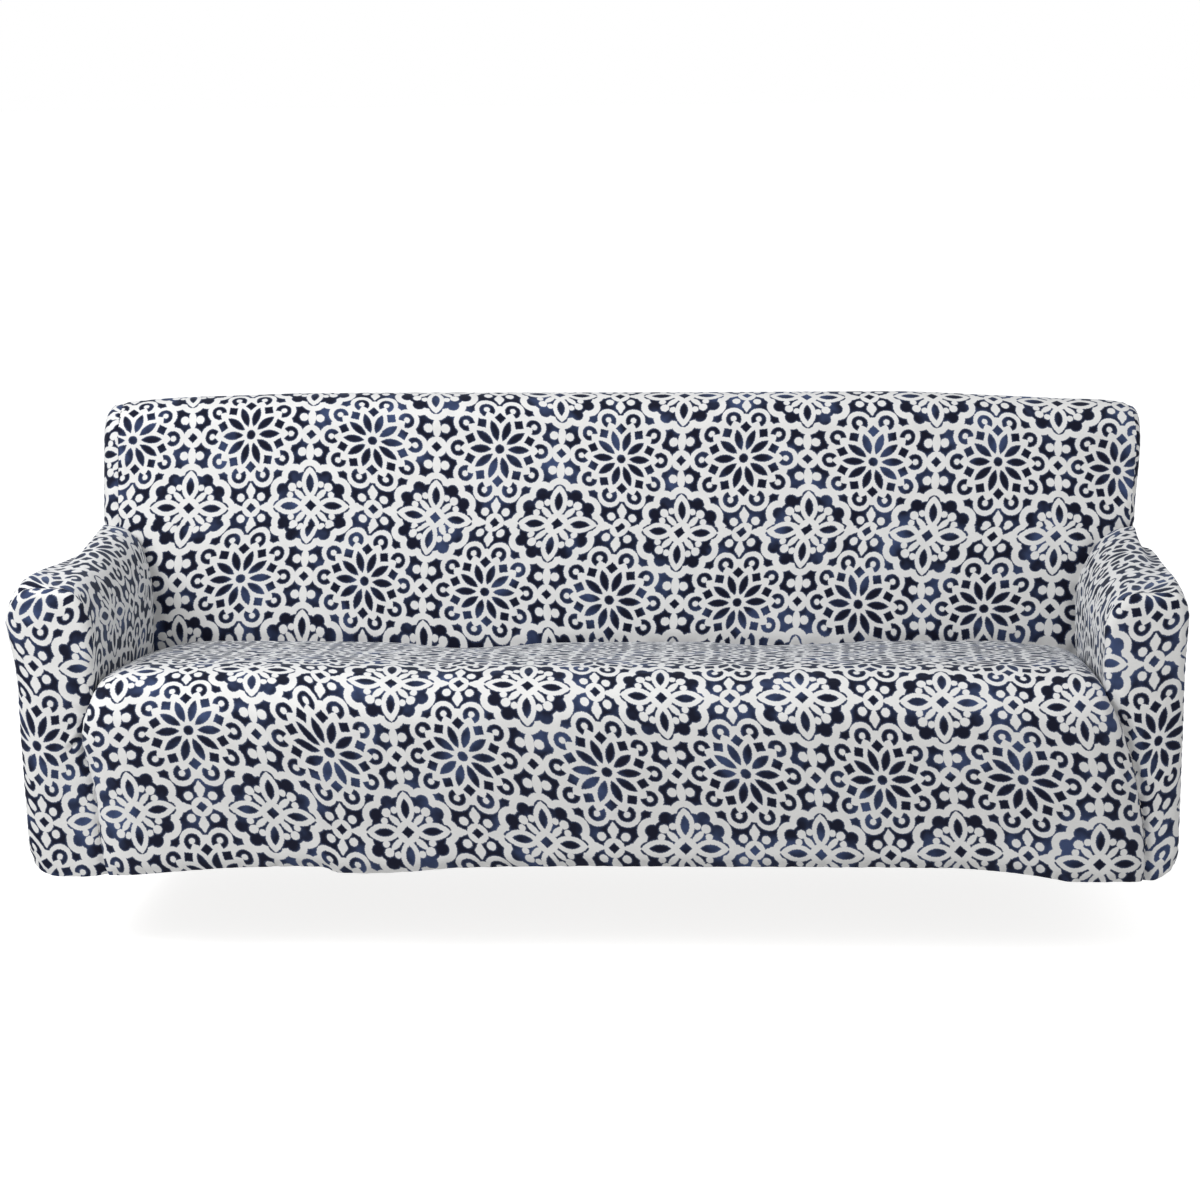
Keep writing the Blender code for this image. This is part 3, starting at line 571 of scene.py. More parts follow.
def seatGrid():
    across = fine["across"]
    left, right = (np.vstack([seamSeatArm(sides[n]), seamSeatFront(n)[1:]]) for n in sides)
    topRows = len(fine["along"])
    depth = left[:topRows, 1]
    top = np.array(seatTop)
    height = spline(top[:, 0], top[:, 1], depth)
    front = np.array([(depth[-1], height[-1])] + seatFront["mid"])
    steps = len(front) - 1
    index = np.linspace(0, steps, fine["apron"] * steps + 1)
    middle = np.vstack([np.stack([depth, height], -1), spline(np.arange(steps + 1), front, index)[1:]])
    onTop, inAll = seatForm["top"], seatForm["top"] + steps
    count = np.concatenate([onTop * (1 - fine["along"][::-1]), onTop + index[1:]])
    points = np.zeros((len(middle), len(across), 3))
    for k, (y, z) in enumerate(middle):
        n = count[k]
        x = blend(left[k, 0], right[k, 0], across)
        forward = smooth(n / onTop)
        creaseLeft = (1 - min(n / seatForm["creaseOver"], 1)) ** seatForm["creaseFade"]
        sag = sagAt(x) * forward * smooth((inAll - n) / onTop)
        zRow = z + (heightAlong("crease", x) - backForm["creaseZ"]) * creaseLeft - sag * seatForm["topSag"]
        yRow = blend(insideBackY(x, zRow), np.full(len(x), y), min(n / seatForm["backOver"], 1))
        if n > onTop:
            yRow = y + sag * smooth((n - onTop) / seatForm["apronOver"]) * seatForm["apronSag"]
        if n > inAll - 1:
            zRow = blend(zRow, heightAlong("hem", x), n - inAll + 1)
        row = np.stack([x, yRow, zRow], -1)
        roundWidth = blend(seatForm["endRear"], seatForm["endFront"], forward)
        for edge, column in ((left[k], 0), (right[k], -1)):
            near = np.clip(1 - np.abs(x - x[column]) / roundWidth, 0, 1)
            row = row + rounding(1 - near, 1.0)[:, None] * (edge - row[column])
        points[k] = row
    return points


# how sewing draws the cloth in, per seam in metres: depth and half width of its valley, then height, spacing
# and reach of the puckers beside it
sewn = {
    "crease": (0.0110, 0.012, 0.0, 0.020, 0.020),
    "armCrease": (0.0080, 0.012, 0.0, 0.020, 0.020),
    "frontSeam": (0.0046, 0.008, 0.0012, 0.021, 0.022),
    "armEdge": (0.0012, 0.006, 0.0005, 0.017, 0.014),
    "gussetSeam": (0.0026, 0.006, 0.0010, 0.019, 0.020),
    "rearSeam": (0.0022, 0.006, 0.0007, 0.023, 0.018),
    "hem": (0.0060, 0.012, 0.0007, 0.037, 0.030),
}

# folds where the cloth is pulled tight, on the front and the inside back: y, points as (x, height), which way
# each is pushed, depth and half width
folds = [
    (-0.395, [(0.9060, 0.3430), (0.9225, 0.3121), (0.9368, 0.2924), (0.9560, 0.2560)], 1, 0.0100, 0.010),
    (-0.395, [(0.9207, 0.2236), (0.9334, 0.1936), (0.9461, 0.1636)], -1, 0.0050, 0.007),
    (-0.395, [(0.9615, 0.2143), (0.9708, 0.1854), (0.9803, 0.1492)], 1, 0.0045, 0.006),
    (-0.395, [(0.9940, 0.0223), (1.0150, 0.0279), (1.0359, 0.0371)], 1, 0.0035, 0.005),
    (-0.395, [(-0.9421, 0.2338), (-0.9307, 0.2469), (-0.9193, 0.2599)], 1, 0.0045, 0.006),
    (-0.395, [(-0.9168, 0.2686), (-0.9158, 0.2436), (-0.9105, 0.2223)], 1, 0.0060, 0.008),
    (0.245, [(-0.9689, 0.6990), (-0.9691, 0.6637), (-0.9692, 0.6300)], 1, 0.0028, 0.004),
    (0.245, [(-0.9731, 0.5790), (-0.9660, 0.5550), (-0.9588, 0.5300)], 1, 0.0032, 0.005),
]


pulling = {
    "uneven": 0.16,  # how unevenly a seam pulls, as a sum of waves: (radians per metre, height, shift)
    "waves": [(133, 1.0, 1), (331, 0.7, 2), (48, 0.8, 3)],
    "wander": 1.3,  # of the puckers' spacing, in radians, then how often
    "wanderEvery": 27,
    "foldFullness": 0.7,  # the lower, the nearer to its ends a fold stays deep
    "foldLip": 0.35,  # height of the ridges beside a fold, as a share of its depth
    "margin": 0.035,  # reach of any pull, at the least
}


def uneven(run, seed):
    waves = sum(height * np.sin(run * every + shift * seed) for every, height, shift in pulling["waves"])
    return 1 + pulling["uneven"] * waves


def borders(grid):
    return np.concatenate([grid[0], grid[-1], grid[:, 0], grid[:, -1]])


def drawnSeam(line, kind, panels, seed):
    # a seam's samples, the way that each is drawn in, and its puckers
    depth, reach, pucker, every, fade = sewn[kind]
    line = densely(line)
    run = np.insert(np.cumsum(np.linalg.norm(np.diff(line, axis=0), axis=1)), 0, 0)
    outward = np.zeros_like(line)
    for grid, normals in panels:
        edge, ways = borders(grid), borders(normals)
        for part in np.array_split(np.arange(len(line)), len(line) // 100 + 1):  # spares memory
            outward[part] += ways[np.linalg.norm(edge[None] - line[part][:, None], axis=-1).argmin(1)]
    outward = unit(outward)
    push = -depth * uneven(run, seed)[:, None] * outward
    wander = pulling["wander"] * np.sin(run * pulling["wanderEvery"] + seed)
    ripple = pucker * np.sin(2 * np.pi * run / every + wander) * uneven(run, seed + 1)
    return {
        "line": line, "push": push, "reach": reach, "ripple": ripple[:, None] * outward, "fade": fade,
        "lip": 0.0, "seen": (1, 1, 1),
    }


def drawnFold(y, points, way, depth, reach):
    line = densely(np.array([(x, y, z) for x, z in points]))
    swell = np.sin(np.pi * np.linspace(0, 1, len(line)))[:, None] ** pulling["foldFullness"]
    push = way * depth * swell * np.array([0.0, 1.0, 0.0])
    return {
        "line": line, "push": push, "reach": reach, "ripple": 0 * push, "fade": reach,
        "lip": pulling["foldLip"], "seen": (1, 0, 1),
    }


def drawIn(points, pulls):
    # the same for every panel, so panels stay joined at their seams
    flat = points.reshape(-1, 3)
    offsets = np.zeros_like(flat)
    for pull in pulls:
        line, margin = pull["line"], max(pulling["margin"], 4 * pull["fade"], 3 * pull["reach"])
        near = np.flatnonzero(((flat > line.min(0) - margin) & (flat < line.max(0) + margin)).all(1))
        for part in np.array_split(near, len(near) * len(line) // 1000000 + 1):
            away = np.linalg.norm((flat[part][:, None] - line[None]) * pull["seen"], axis=-1)
            k = away.argmin(1)
            d = away[np.arange(len(part)), k][:, None]
            valley = np.exp(-((d / pull["reach"]) ** 2))
            valley = valley - pull["lip"] * np.exp(-((d / pull["reach"] - 2) ** 2))
            offsets[part] += pull["push"][k] * valley + pull["ripple"][k] * np.exp(-d / pull["fade"])
    return points + offsets.reshape(points.shape)


# sheets of cloth from the grids
def runLength(points, axis, origin):
    # length over the cloth along one axis of the grid, from the row or column given
    steps = np.linalg.norm(np.diff(points, axis=axis), axis=-1)
    total = np.cumsum(np.insert(steps, 0, 0, axis=axis), axis=axis)
    return total - np.take(total, [origin], axis=axis)


# the cover sits unevenly, so the print's rows sink from left to right: (x, drop) in metres
drift = {
    "back": [
        (-1.05, -0.004), (-0.74, 0.000), (-0.45, 0.014), (-0.15, 0.040), (0.15, 0.052), (0.60, 0.055),
        (1.05, 0.052),
    ],
    "seat": [
        (-1.05, -0.010), (-0.64, 0.000), (-0.33, 0.036), (-0.01, 0.066), (0.30, 0.081), (0.62, 0.080),
        (1.05, 0.068),
    ],
    "none": [(-1.05, 0.0), (0.0, 0.0), (1.05, 0.0)],
}
# and broad waves pass through it, themselves bent: (how often, how far)
printWaves = {
    "height": 0.0045,
    "length": 0.47,
    "acrossBent": (0.6, 1.7),
    "upBent": (0.7, 1.3),
    "upShift": 0.8,
}
# how far the arms' cloth is pulled out, from front to back and up; the rest lies at its printed size
pulled = {"arm": (1.4, 1.0)}


def clothUv(points, origin, place, turned, flatAxis, drop="none", stretch=(1.0, 1.0)):
    # (across, up) over the cloth in metres; the grid point at origin gets the place given. Columns may fan
    # out along flatAxis, which adds nothing to their length, and stretch is how far the cloth is pulled.
    row, column = origin
    upright = np.delete(points, flatAxis, axis=-1)
    across = turned[0] * runLength(points, 1, column) / stretch[0] + place[0]
    up = turned[1] * runLength(upright, 0, row) / stretch[1] + place[1]
    knots = np.array(drift[drop])
    up = up + spline(knots[:, 0], knots[:, 1], points[..., 0].ravel()).reshape(up.shape)
    turn = 2 * np.pi / printWaves["length"]
    often, far = printWaves["acrossBent"]
    wavedAcross = across + printWaves["height"] * np.sin(turn * up + far * np.sin(turn * often * across))
    often, far = printWaves["upBent"]
    bent = turn * across + far * np.sin(turn * often * up) + printWaves["upShift"]
    return np.stack([wavedAcross, up + printWaves["height"] * np.sin(bent)], -1)


cloth = {
    "thick": 0.003,
    "seamGap": 0.0003,
    "seamHeld": 0.00005,  # kept free beyond the gap
    "hemBelow": 0.045,  # cut edges below this height are the hem
    "sharpFrom": math.radians(60.0),  # edges that stay sharp
}


def makeSheet(name, points, outward, uv, materials):
    # face, underside one cloth thickness below it, and the four cut edges. The second material is the
    # cloth's wrong side, which shows on the underside and along the hem, where its taupe is partly painted
    # shadow of the turned hem.
    half = cloth["seamGap"] / 2 + cloth["seamHeld"]
    face = points.copy()
    for axis in (0, 1):
        target, source = (face, points) if axis == 0 else (face.swapaxes(0, 1), points.swapaxes(0, 1))
        target[0] += half * unit(source[1] - source[0])
        target[-1] += half * unit(source[-2] - source[-1])
    normals = gridNormals(face, outward)
    under = face - cloth["thick"] * normals
    rows, columns = face.shape[:2]
    index = np.arange(rows * columns).reshape(rows, columns)
    quads = np.stack([index[:-1, :-1], index[:-1, 1:], index[1:, 1:], index[1:, :-1]], -1).reshape(-1, 4)
    turned = np.cross(face[1, 0] - face[0, 0], face[0, 1] - face[0, 0])
    if (turned * normals[0, 0]).sum() > 0:
        quads = quads[:, ::-1]
    rim = np.concatenate([index[0], index[1:, -1], index[-1, -2::-1], index[-2:0:-1, 0]])
    ring = np.stack([rim, np.roll(rim, -1)], -1)
    shift = rows * columns
    sideQuads = np.stack([ring[:, 0], ring[:, 1], ring[:, 1] + shift, ring[:, 0] + shift], -1)
    if (turned * normals[0, 0]).sum() < 0:
        sideQuads = sideQuads[:, ::-1]
    faces = np.vstack([quads, quads[:, ::-1] + shift, sideQuads])
    mesh = bpy.data.meshes.new(name)
    mesh.from_pydata(np.vstack([face.reshape(-1, 3), under.reshape(-1, 3)]).tolist(), [], faces.tolist())
    mesh.validate()
    layer = mesh.uv_layers.new(name="cloth")
    flatUv = np.vstack([uv.reshape(-1, 2)] * 2)
    loops = np.empty(len(mesh.loops), int)
    mesh.loops.foreach_get("vertex_index", loops)
    layer.data.foreach_set("uv", flatUv[loops].astype(np.float32).ravel())
    mesh.shade_smooth()
    mesh.set_sharp_from_angle(angle=cloth["sharpFrom"])
    for material in materials:
        mesh.materials.append(material)
    # the hem's cut edges take the wrong side's taupe, partly as painted shadow of the turned hem
    hem = face.reshape(-1, 3)[ring][..., 2].mean(1) < cloth["hemBelow"]
    wrongSideAndHemShadow = np.concatenate([np.zeros(len(quads)), np.ones(len(quads)), hem])
    mesh.polygons.foreach_set("material_index", wrongSideAndHemShadow.astype(int))
    piece = bpy.data.objects.new(name, mesh)
    bpy.context.scene.collection.objects.link(piece)
    return piece


# materials
def linear(code):
    # sRGB hex to linear
    parts = [int(code[i : i + 2], 16) / 255 for i in (1, 3, 5)]
    return [c / 12.92 if c <= 0.04045 else ((c + 0.055) / 1.055) ** 2.4 for c in parts] + [1.0]


def newMaterial(name):
    material = bpy.data.materials.new(name)
    material.use_nodes = True
    material.node_tree.nodes.clear()
    return material


def addNode(material, kind, settings=None, links=None):
    # settings by name; links by input name or number, to a socket or a plain value
    node = material.node_tree.nodes.new("ShaderNode" + kind)
    for key, value in (settings or {}).items():
        setattr(node, key, value)
    for key, value in (links or {}).items():
        if isinstance(value, bpy.types.NodeSocket):
            material.node_tree.links.new(value, node.inputs[key])
        else:
            node.inputs[key].default_value = value
    return node


velvet = {
    "cream": "#DDDDDC",
    "navy": "#0C0F22",
    "blue": "#3B496C",
    "faded": "#5F6D90",  # the dye where it thins out at the print's edges
    "fadeOver": 2.6,  # mm
    "soft": 1.2,  # mm over which the ink bleeds into the pile
    "ragged": 1.1,  # mm by which tufts shift the print's edge
    "tuft": 3.0,  # mm, about twice a real tuft, so that the pile's grain still shows
    "pile": 1.2,  # mm, its height
    "blotch": 95.0,  # mm between lighter patches in the indigo, partly uneven dye and partly painted sheen of the nap
    "blotched": (0.46, 0.80),  # of the noise, from no patch to a full one
    "thinned": 0.4,  # share of the faded dye at the print's edges
    "pileShadePatches": 42.0,  # mm between patches of painted shade, where the pile lies another way
    # how far the painted pile shade darkens the colour
    "pileShadeDepth": 0.07,
}

# A lattice of lace medallions, each form in mm along and across the middle of its sector. Cream forms are
# laid down and indigo ones cut out of them, in this order. A row: how, sectors, turn, form, place and sizes.
lattice = {
    "cell": (200.0, 230.0),
    "enlarged": 1.22,
    "rose": [
        ("lay", 10, 0, "disc", 0, 0, 72),
        ("lay", 10, 0, "disc", 68, 0, 18.5),
        ("cut", 10, 0, "disc", 66, 0, 12.6),
        ("lay", 10, 0, "disc", 67, 0, 4.6),
        ("lay", 10, 0, "diamond", 55, 0, 8.5),
        ("cut", 10, 0, "disc", 0, 0, 7.5),
        ("cut", 10, 0, "leaf", 13, 48, 6.6),
        ("cut", 10, 18, "diamond", 50, 0, 9.5),
    ],
    "palms": [
        ("lay", 12, 0, "disc", 53, 0, 20.7),
        ("cut", 12, 0, "disc", 53, 0, 10.3),
        ("cut", 12, 0, "disc", 0, 0, 55),
        ("lay", 4, 0, "disc", 0, 0, 17),
        ("lay", 4, 0, "leaf", 10, 62, 13.5),
        ("lay", 4, 45, "leaf", 12, 38, 4.8),
        ("lay", 4, 45, "disc", 42, 0, 6.8),
        ("lay", 4, 45, "disc", 36, 11.5, 5.2),
        ("cut", 4, 0, "leaf", 20, 51, 6.5),
        ("cut", 4, 0, "diamond", 0, 0, 9.5),
    ],
    "bud": [
        ("lay", 2, 90, "disc", 0, 0, 16),
        ("lay", 2, 90, "leaf", 12, 47, 6.5),
        ("lay", 2, 90, "disc", 29, 13, 7),
        ("cut", 2, 90, "diamond", 0, 0, 8.5),
    ],
    "cross": [
        ("lay", 4, 0, "disc", 0, 0, 15),
        ("lay", 4, 0, "leaf", 12, 40, 5.5),
        ("lay", 4, 0, "disc", 27, 0, 7.5),
        ("lay", 4, 45, "disc", 24, 0, 6.5),
        ("cut", 4, 0, "diamond", 0, 0, 8.5),
    ],
}


def foldRound(material, place, parts, turn):
    # every sector of a turn onto one, measured along and across the sector's middle
    xyz = addNode(material, "SeparateXYZ", None, {0: place}).outputs
    angle = addNode(material, "Math", {"operation": "ARCTAN2"}, {0: xyz["Y"], 1: xyz["X"]})
    start = math.radians(turn)
    turned = addNode(material, "Math", {"operation": "SUBTRACT"}, {0: angle.outputs[0], 1: start})
    folded = addNode(material, "Math", {"operation": "PINGPONG"}, {0: turned.outputs[0], 1: math.pi / parts})
    along = addNode(material, "Math", {"operation": "COSINE"}, {0: folded.outputs[0]})
    across = addNode(material, "Math", {"operation": "SINE"}, {0: folded.outputs[0]})
    way = addNode(material, "CombineXYZ", None, {"X": along.outputs[0], "Y": across.outputs[0]})
    reach = addNode(material, "VectorMath", {"operation": "LENGTH"}, {0: place})
    scaled = addNode(material, "VectorMath", {"operation": "SCALE"}, {
        0: way.outputs[0], "Scale": reach.outputs["Value"],
    })
    return scaled.outputs[0]


def printShape(material, place, shape, along, across, size=None):
    # distance to a shape's edge, in mm, less than nothing inside it
    if shape == "leaf":  # its two sides are arcs, and the folded side needs only one of them
        start, end, bulge = along, across, size
        half = (end - start) / 2
        size = (half**2 + bulge**2) / (2 * bulge)
        along, across = (start + end) / 2, bulge - size
    middle = (along, across, 0)
    if shape == "diamond":
        moved = addNode(material, "VectorMath", {"operation": "SUBTRACT"}, {0: place, 1: middle}).outputs[0]
        sided = addNode(material, "VectorMath", {"operation": "ABSOLUTE"}, {0: moved}).outputs[0]
        far = addNode(material, "VectorMath", {"operation": "DOT_PRODUCT"}, {0: sided, 1: (1, 1, 0)})
    else:
        far = addNode(material, "VectorMath", {"operation": "DISTANCE"}, {0: place, 1: middle})
    edge = addNode(material, "Math", {"operation": "SUBTRACT"}, {0: far.outputs["Value"], 1: size})
    return edge.outputs[0]


def printMotif(material, place, motif):
    folded, made = {}, None
    for how, parts, turn, shape, *sizes in motif:
        if (parts, turn) not in folded:
            folded[parts, turn] = foldRound(material, place, parts, turn)
        edge = printShape(material, folded[parts, turn], shape, *sizes)
        if how == "cut":
            edge = addNode(material, "Math", {"operation": "MULTIPLY"}, {0: edge, 1: -1.0}).outputs[0]
        if made is not None:
            pick = "MAXIMUM" if how == "cut" else "MINIMUM"
            edge = addNode(material, "Math", {"operation": pick}, {0: made, 1: edge}).outputs[0]
        made = edge
    return made


def makeVelvet():
    # Polyester velvet plush, knitted with elastane, brushed and heat-printed. The pile is matt when seen
    # along it and turns pale where it leans away. Its colour holds painted shade in patches where the pile
    # lies another way, and lighter patches in the indigo that are partly uneven dye and partly painted sheen
    # of the nap.
    material = newMaterial("printedVelvetPlush")
    uv = addNode(material, "UVMap", {"uv_map": "cloth"})
    mm = addNode(material, "VectorMath", {"operation": "SCALE"}, {0: uv.outputs[0], "Scale": 1000.0})
    tufts = addNode(material, "TexNoise", {"noise_dimensions": "2D"}, {
        "Vector": mm.outputs[0], "Scale": 1 / velvet["tuft"], "Detail": 1.0,
    })
    shift = addNode(material, "VectorMath", {"operation": "MULTIPLY_ADD"}, {
        0: tufts.outputs["Color"], 1: [2 * velvet["ragged"]] * 3, 2: [-velvet["ragged"]] * 3,
    })
    shifted = addNode(material, "VectorMath", {"operation": "ADD"}, {0: mm.outputs[0], 1: shift.outputs[0]})
    sized = addNode(material, "VectorMath", {"operation": "SCALE"}, {
        0: shifted.outputs[0], "Scale": 1 / lattice["enlarged"],
    })
    parted = addNode(material, "SeparateXYZ", None, {0: sized.outputs[0]})
    ends = []
    for axis, width in zip("XY", lattice["cell"]):
        near = addNode(material, "Math", {"operation": "PINGPONG"}, {0: parted.outputs[axis], 1: width / 2})
        far = addNode(material, "Math", {"operation": "SUBTRACT"}, {0: width / 2, 1: near.outputs[0]})
        ends.append((near.outputs[0], far.outputs[0]))
    cream = None
    for name, across, up in (("rose", 0, 0), ("palms", 1, 1), ("bud", 1, 0), ("cross", 0, 1)):
        place = addNode(material, "CombineXYZ", None, {"X": ends[0][across], "Y": ends[1][up]})
        edge = printMotif(material, place.outputs[0], lattice[name])
        if cream is not None:
            edge = addNode(material, "Math", {"operation": "MINIMUM"}, {0: cream, 1: edge}).outputs[0]
        cream = edge
    ink = addNode(material, "MapRange", {"interpolation_type": "SMOOTHSTEP"}, {
        "Value": cream, "From Min": -velvet["soft"] / 2, "From Max": velvet["soft"] / 2,
    })
    # lighter patches in the indigo: partly uneven dye, partly painted sheen where the nap catches more light
    blotches = addNode(material, "TexNoise", {"noise_dimensions": "2D"}, {
        "Vector": mm.outputs[0], "Scale": 1 / velvet["blotch"], "Detail": 3.0, "Roughness": 0.55,
    })
    dyeAndSheenPatches = addNode(material, "MapRange", {"interpolation_type": "SMOOTHSTEP"}, {
        "Value": blotches.outputs["Fac"],
        "From Min": velvet["blotched"][0], "From Max": velvet["blotched"][1],
    })
    indigo = addNode(material, "Mix", {"data_type": "RGBA"}, {
        0: dyeAndSheenPatches.outputs[0], 6: linear(velvet["navy"]), 7: linear(velvet["blue"]),
    })
    thin = addNode(material, "MapRange", None, {
        "Value": cream, "From Min": velvet["fadeOver"], "From Max": 0.0, "To Max": velvet["thinned"],
    })
    dye = addNode(material, "Mix", {"data_type": "RGBA"}, {
        0: thin.outputs[0], 6: indigo.outputs[2], 7: linear(velvet["faded"]),
    })
    printed = addNode(material, "Mix", {"data_type": "RGBA"}, {
        0: ink.outputs[0], 6: linear(velvet["cream"]), 7: dye.outputs[2],
    })
    # painted shade: the printed colour is darkened a little in patches where the pile lies another way
    pileShadePatches = addNode(material, "TexNoise", {"noise_dimensions": "2D"}, {
        "Vector": mm.outputs[0], "Scale": 1 / velvet["pileShadePatches"], "Detail": 4.0, "Roughness": 0.6,
    })
    shade = addNode(material, "MapRange", None, {
        "Value": pileShadePatches.outputs["Fac"], "From Min": 0.3, "From Max": 0.7,
        "To Min": 1 - velvet["pileShadeDepth"], "To Max": 1.0,
    })
    colour = addNode(material, "VectorMath", {"operation": "SCALE"}, {
        0: printed.outputs[2], "Scale": shade.outputs[0],
    })
    bump = addNode(material, "Bump", None, {
        "Height": tufts.outputs["Fac"], "Strength": 0.35, "Distance": velvet["pile"] / 1000,
    })
    shader = addNode(material, "BsdfPrincipled", None, {
        "Base Color": colour.outputs[0], "Normal": bump.outputs[0],
        "Roughness": 0.85, "IOR": 1.45, "Specular IOR Level": 0.2,
        "Sheen Weight": 0.18, "Sheen Roughness": 0.4, "Sheen Tint": linear("#C3D0E8"),
    })
    addNode(material, "OutputMaterial", None, {"Surface": shader.outputs[0]})
    return material


wavePeriod = math.pi / 10  # of a wave texture's bands at scale 1

backing = {
    # the wrong side's taupe: partly its own colour, partly painted shadow of the turned hem's edge
    "taupeWithHemShadow": "#B4AB9F",
    "rib": 1.6,  # mm between knitted ribs, twice the real gauge so that they show
    "ribDepth": 0.6,  # mm
    "patch": 8.3,  # mm between lighter and darker patches
    "tone": (0.82, 1.08),
}


def makeBackingWithHemShadow():
    # Plain warp-knitted polyester, the wrong side of the plush and its hem. It is unprinted and matt, with
    # fine ribs, and its tone is a little uneven. Its taupe is partly painted shadow, for the dark line along
    # the turned hem.
    material = newMaterial("warpKnitBackingWithHemShadow")
    uv = addNode(material, "UVMap", {"uv_map": "cloth"})
    mm = addNode(material, "VectorMath", {"operation": "SCALE"}, {0: uv.outputs[0], "Scale": 1000.0})
    ribs = addNode(material, "TexWave", {"bands_direction": "X"}, {
        "Vector": mm.outputs[0], "Scale": wavePeriod / backing["rib"], "Distortion": 1.5, "Detail": 1.0,
    })
    patches = addNode(material, "TexNoise", {"noise_dimensions": "2D"}, {
        "Vector": mm.outputs[0], "Scale": 1 / backing["patch"], "Detail": 3.0,
    })
    tone = addNode(material, "MapRange", None, {
        "Value": patches.outputs["Fac"], "To Min": backing["tone"][0], "To Max": backing["tone"][1],
    })
    toned = addNode(material, "VectorMath", {"operation": "SCALE"}, {
        0: linear(backing["taupeWithHemShadow"])[:3], "Scale": tone.outputs[0],
    })
    bump = addNode(material, "Bump", None, {
        "Height": ribs.outputs["Fac"], "Strength": 0.4, "Distance": backing["ribDepth"] / 1000,
    })
    shader = addNode(material, "BsdfPrincipled", None, {
        "Base Color": toned.outputs[0], "Normal": bump.outputs[0],
        "Roughness": 0.9, "IOR": 1.45, "Specular IOR Level": 0.2,
    })
    addNode(material, "OutputMaterial", None, {"Surface": shader.outputs[0]})
    return material


thread = {
    "colour": "#E9E6E0",
    "twist": 1.1,  # mm between the turns of its ply
    "twistDepth": 0.3,  # mm
    "shade": 0.78,  # in the grooves between the plies
}


def makeThread():
    # Spun polyester sewing thread, two-ply: pale, smooth and a little shiny beside the pile.
    material = newMaterial("spunPolyesterThread")
    place = addNode(material, "TexCoord")
    mm = addNode(material, "VectorMath", {"operation": "SCALE"}, {
        0: place.outputs["Object"], "Scale": 1000.0,
    })
    twist = addNode(material, "TexWave", {"bands_direction": "DIAGONAL"}, {
        "Vector": mm.outputs[0], "Scale": wavePeriod / thread["twist"], "Distortion": 0.5,
    })
    shade = addNode(material, "MapRange", None, {
        "Value": twist.outputs["Fac"], "To Min": thread["shade"], "To Max": 1.0,
    })
    colour = addNode(material, "VectorMath", {"operation": "SCALE"}, {
        0: linear(thread["colour"])[:3], "Scale": shade.outputs[0],
    })
    bump = addNode(material, "Bump", None, {
        "Height": twist.outputs["Fac"], "Strength": 0.5, "Distance": thread["twistDepth"] / 1000,
    })
    shader = addNode(material, "BsdfPrincipled", None, {
        "Base Color": colour.outputs[0], "Normal": bump.outputs[0], "Roughness": 0.5, "IOR": 1.5,
    })
    addNode(material, "OutputMaterial", None, {"Surface": shader.outputs[0]})
    return material


velvetMaterial = makeVelvet()
backingWithHemShadow = makeBackingWithHemShadow()
threadMaterial = makeThread()
print("materials made")

# the nine panels as grids of points, and the way that each faces. Cut flat, they are on average 6% smaller
# each way than the form that they are pulled over, and the arms by over a quarter from front to back.
grids = {"back_inner": backInnerGrid(), "seat": seatGrid(), "back_outer": backOuterGrid()}
facing = {"back_inner": (0, -1, 0.5), "seat": (0, -0.7, 0.7), "back_outer": (0, 1, 0)}
for name, side in sides.items():
    grids["arm_" + name] = armGrid(name)
    grids["arm_front_" + name] = armFrontGrid(name)
    grids["back_side_" + name] = gussetGrid(name)
    facing["arm_" + name] = (side["sign"], 0, 1)
    facing["arm_front_" + name] = (0, -1, 0)
    facing["back_side_" + name] = (side["sign"], 0, 0)
normals = {name: gridNormals(grid, facing[name]) for name, grid in grids.items()}


def seam(kind, line, first, second, seed):
    return drawnSeam(line, kind, [(grids[first], normals[first]), (grids[second], normals[second])], seed)


def hemLine():
    right, left = ([grids[part + name] for part in ("arm_front_", "arm_")] for name in ("right", "left"))
    front = [grids["seat"][-1], right[0][0], right[1][-1]]
    return np.vstack([*front, grids["back_outer"][0][::-1], left[1][-1][::-1], left[0][0][::-1]])


# the last number makes each seam's unevenness its own
pulls = [
    seam("crease", grids["seat"][0], "seat", "back_inner", 0.4),
    seam("rearSeam", grids["back_inner"][-1], "back_inner", "back_outer", 2.2),
    drawnSeam(hemLine(), "hem", [(grids[name], normals[name]) for name in grids if "side" not in name], 3.1),
]
for name, side in sides.items():
    seed = 5.0 + side["sign"]
    pulls += [
        seam("armCrease", seamSeatArm(side), "seat", "arm_" + name, seed),
        seam("armCrease", seamArmBack(side), "arm_" + name, "back_inner", seed + 2),
        seam("frontSeam", seamSeatFront(name), "seat", "arm_front_" + name, seed + 3),
        seam("armEdge", grids["arm_" + name][:, 0], "arm_" + name, "arm_front_" + name, seed + 4),
        seam("gussetSeam", seamGussetFront(side), "back_side_" + name, "back_inner", seed + 5),
        seam("gussetSeam", seamGussetFoot(side), "back_side_" + name, "arm_" + name, seed + 6),
        seam("rearSeam", seamGussetRear(side), "back_side_" + name, "back_outer", seed + 7),
        seam("rearSeam", seamRearSide(side), "arm_" + name, "back_outer", seed + 8),
    ]
pulls += [drawnFold(*fold) for fold in folds]
print("seams and folds:", len(pulls))


# thread that shows beside the two seams down the arms' fronts, between the heights given
stitches = {
    "length": 0.0100,
    "thickness": 0.0018,
    "every": 0.0150,
    "raised": 0.0005,
    "column": 4,  # of the arm's front, counted from the seam
    "shown": {"left": (0.058, 0.112), "right": (0.060, 0.255)},
}


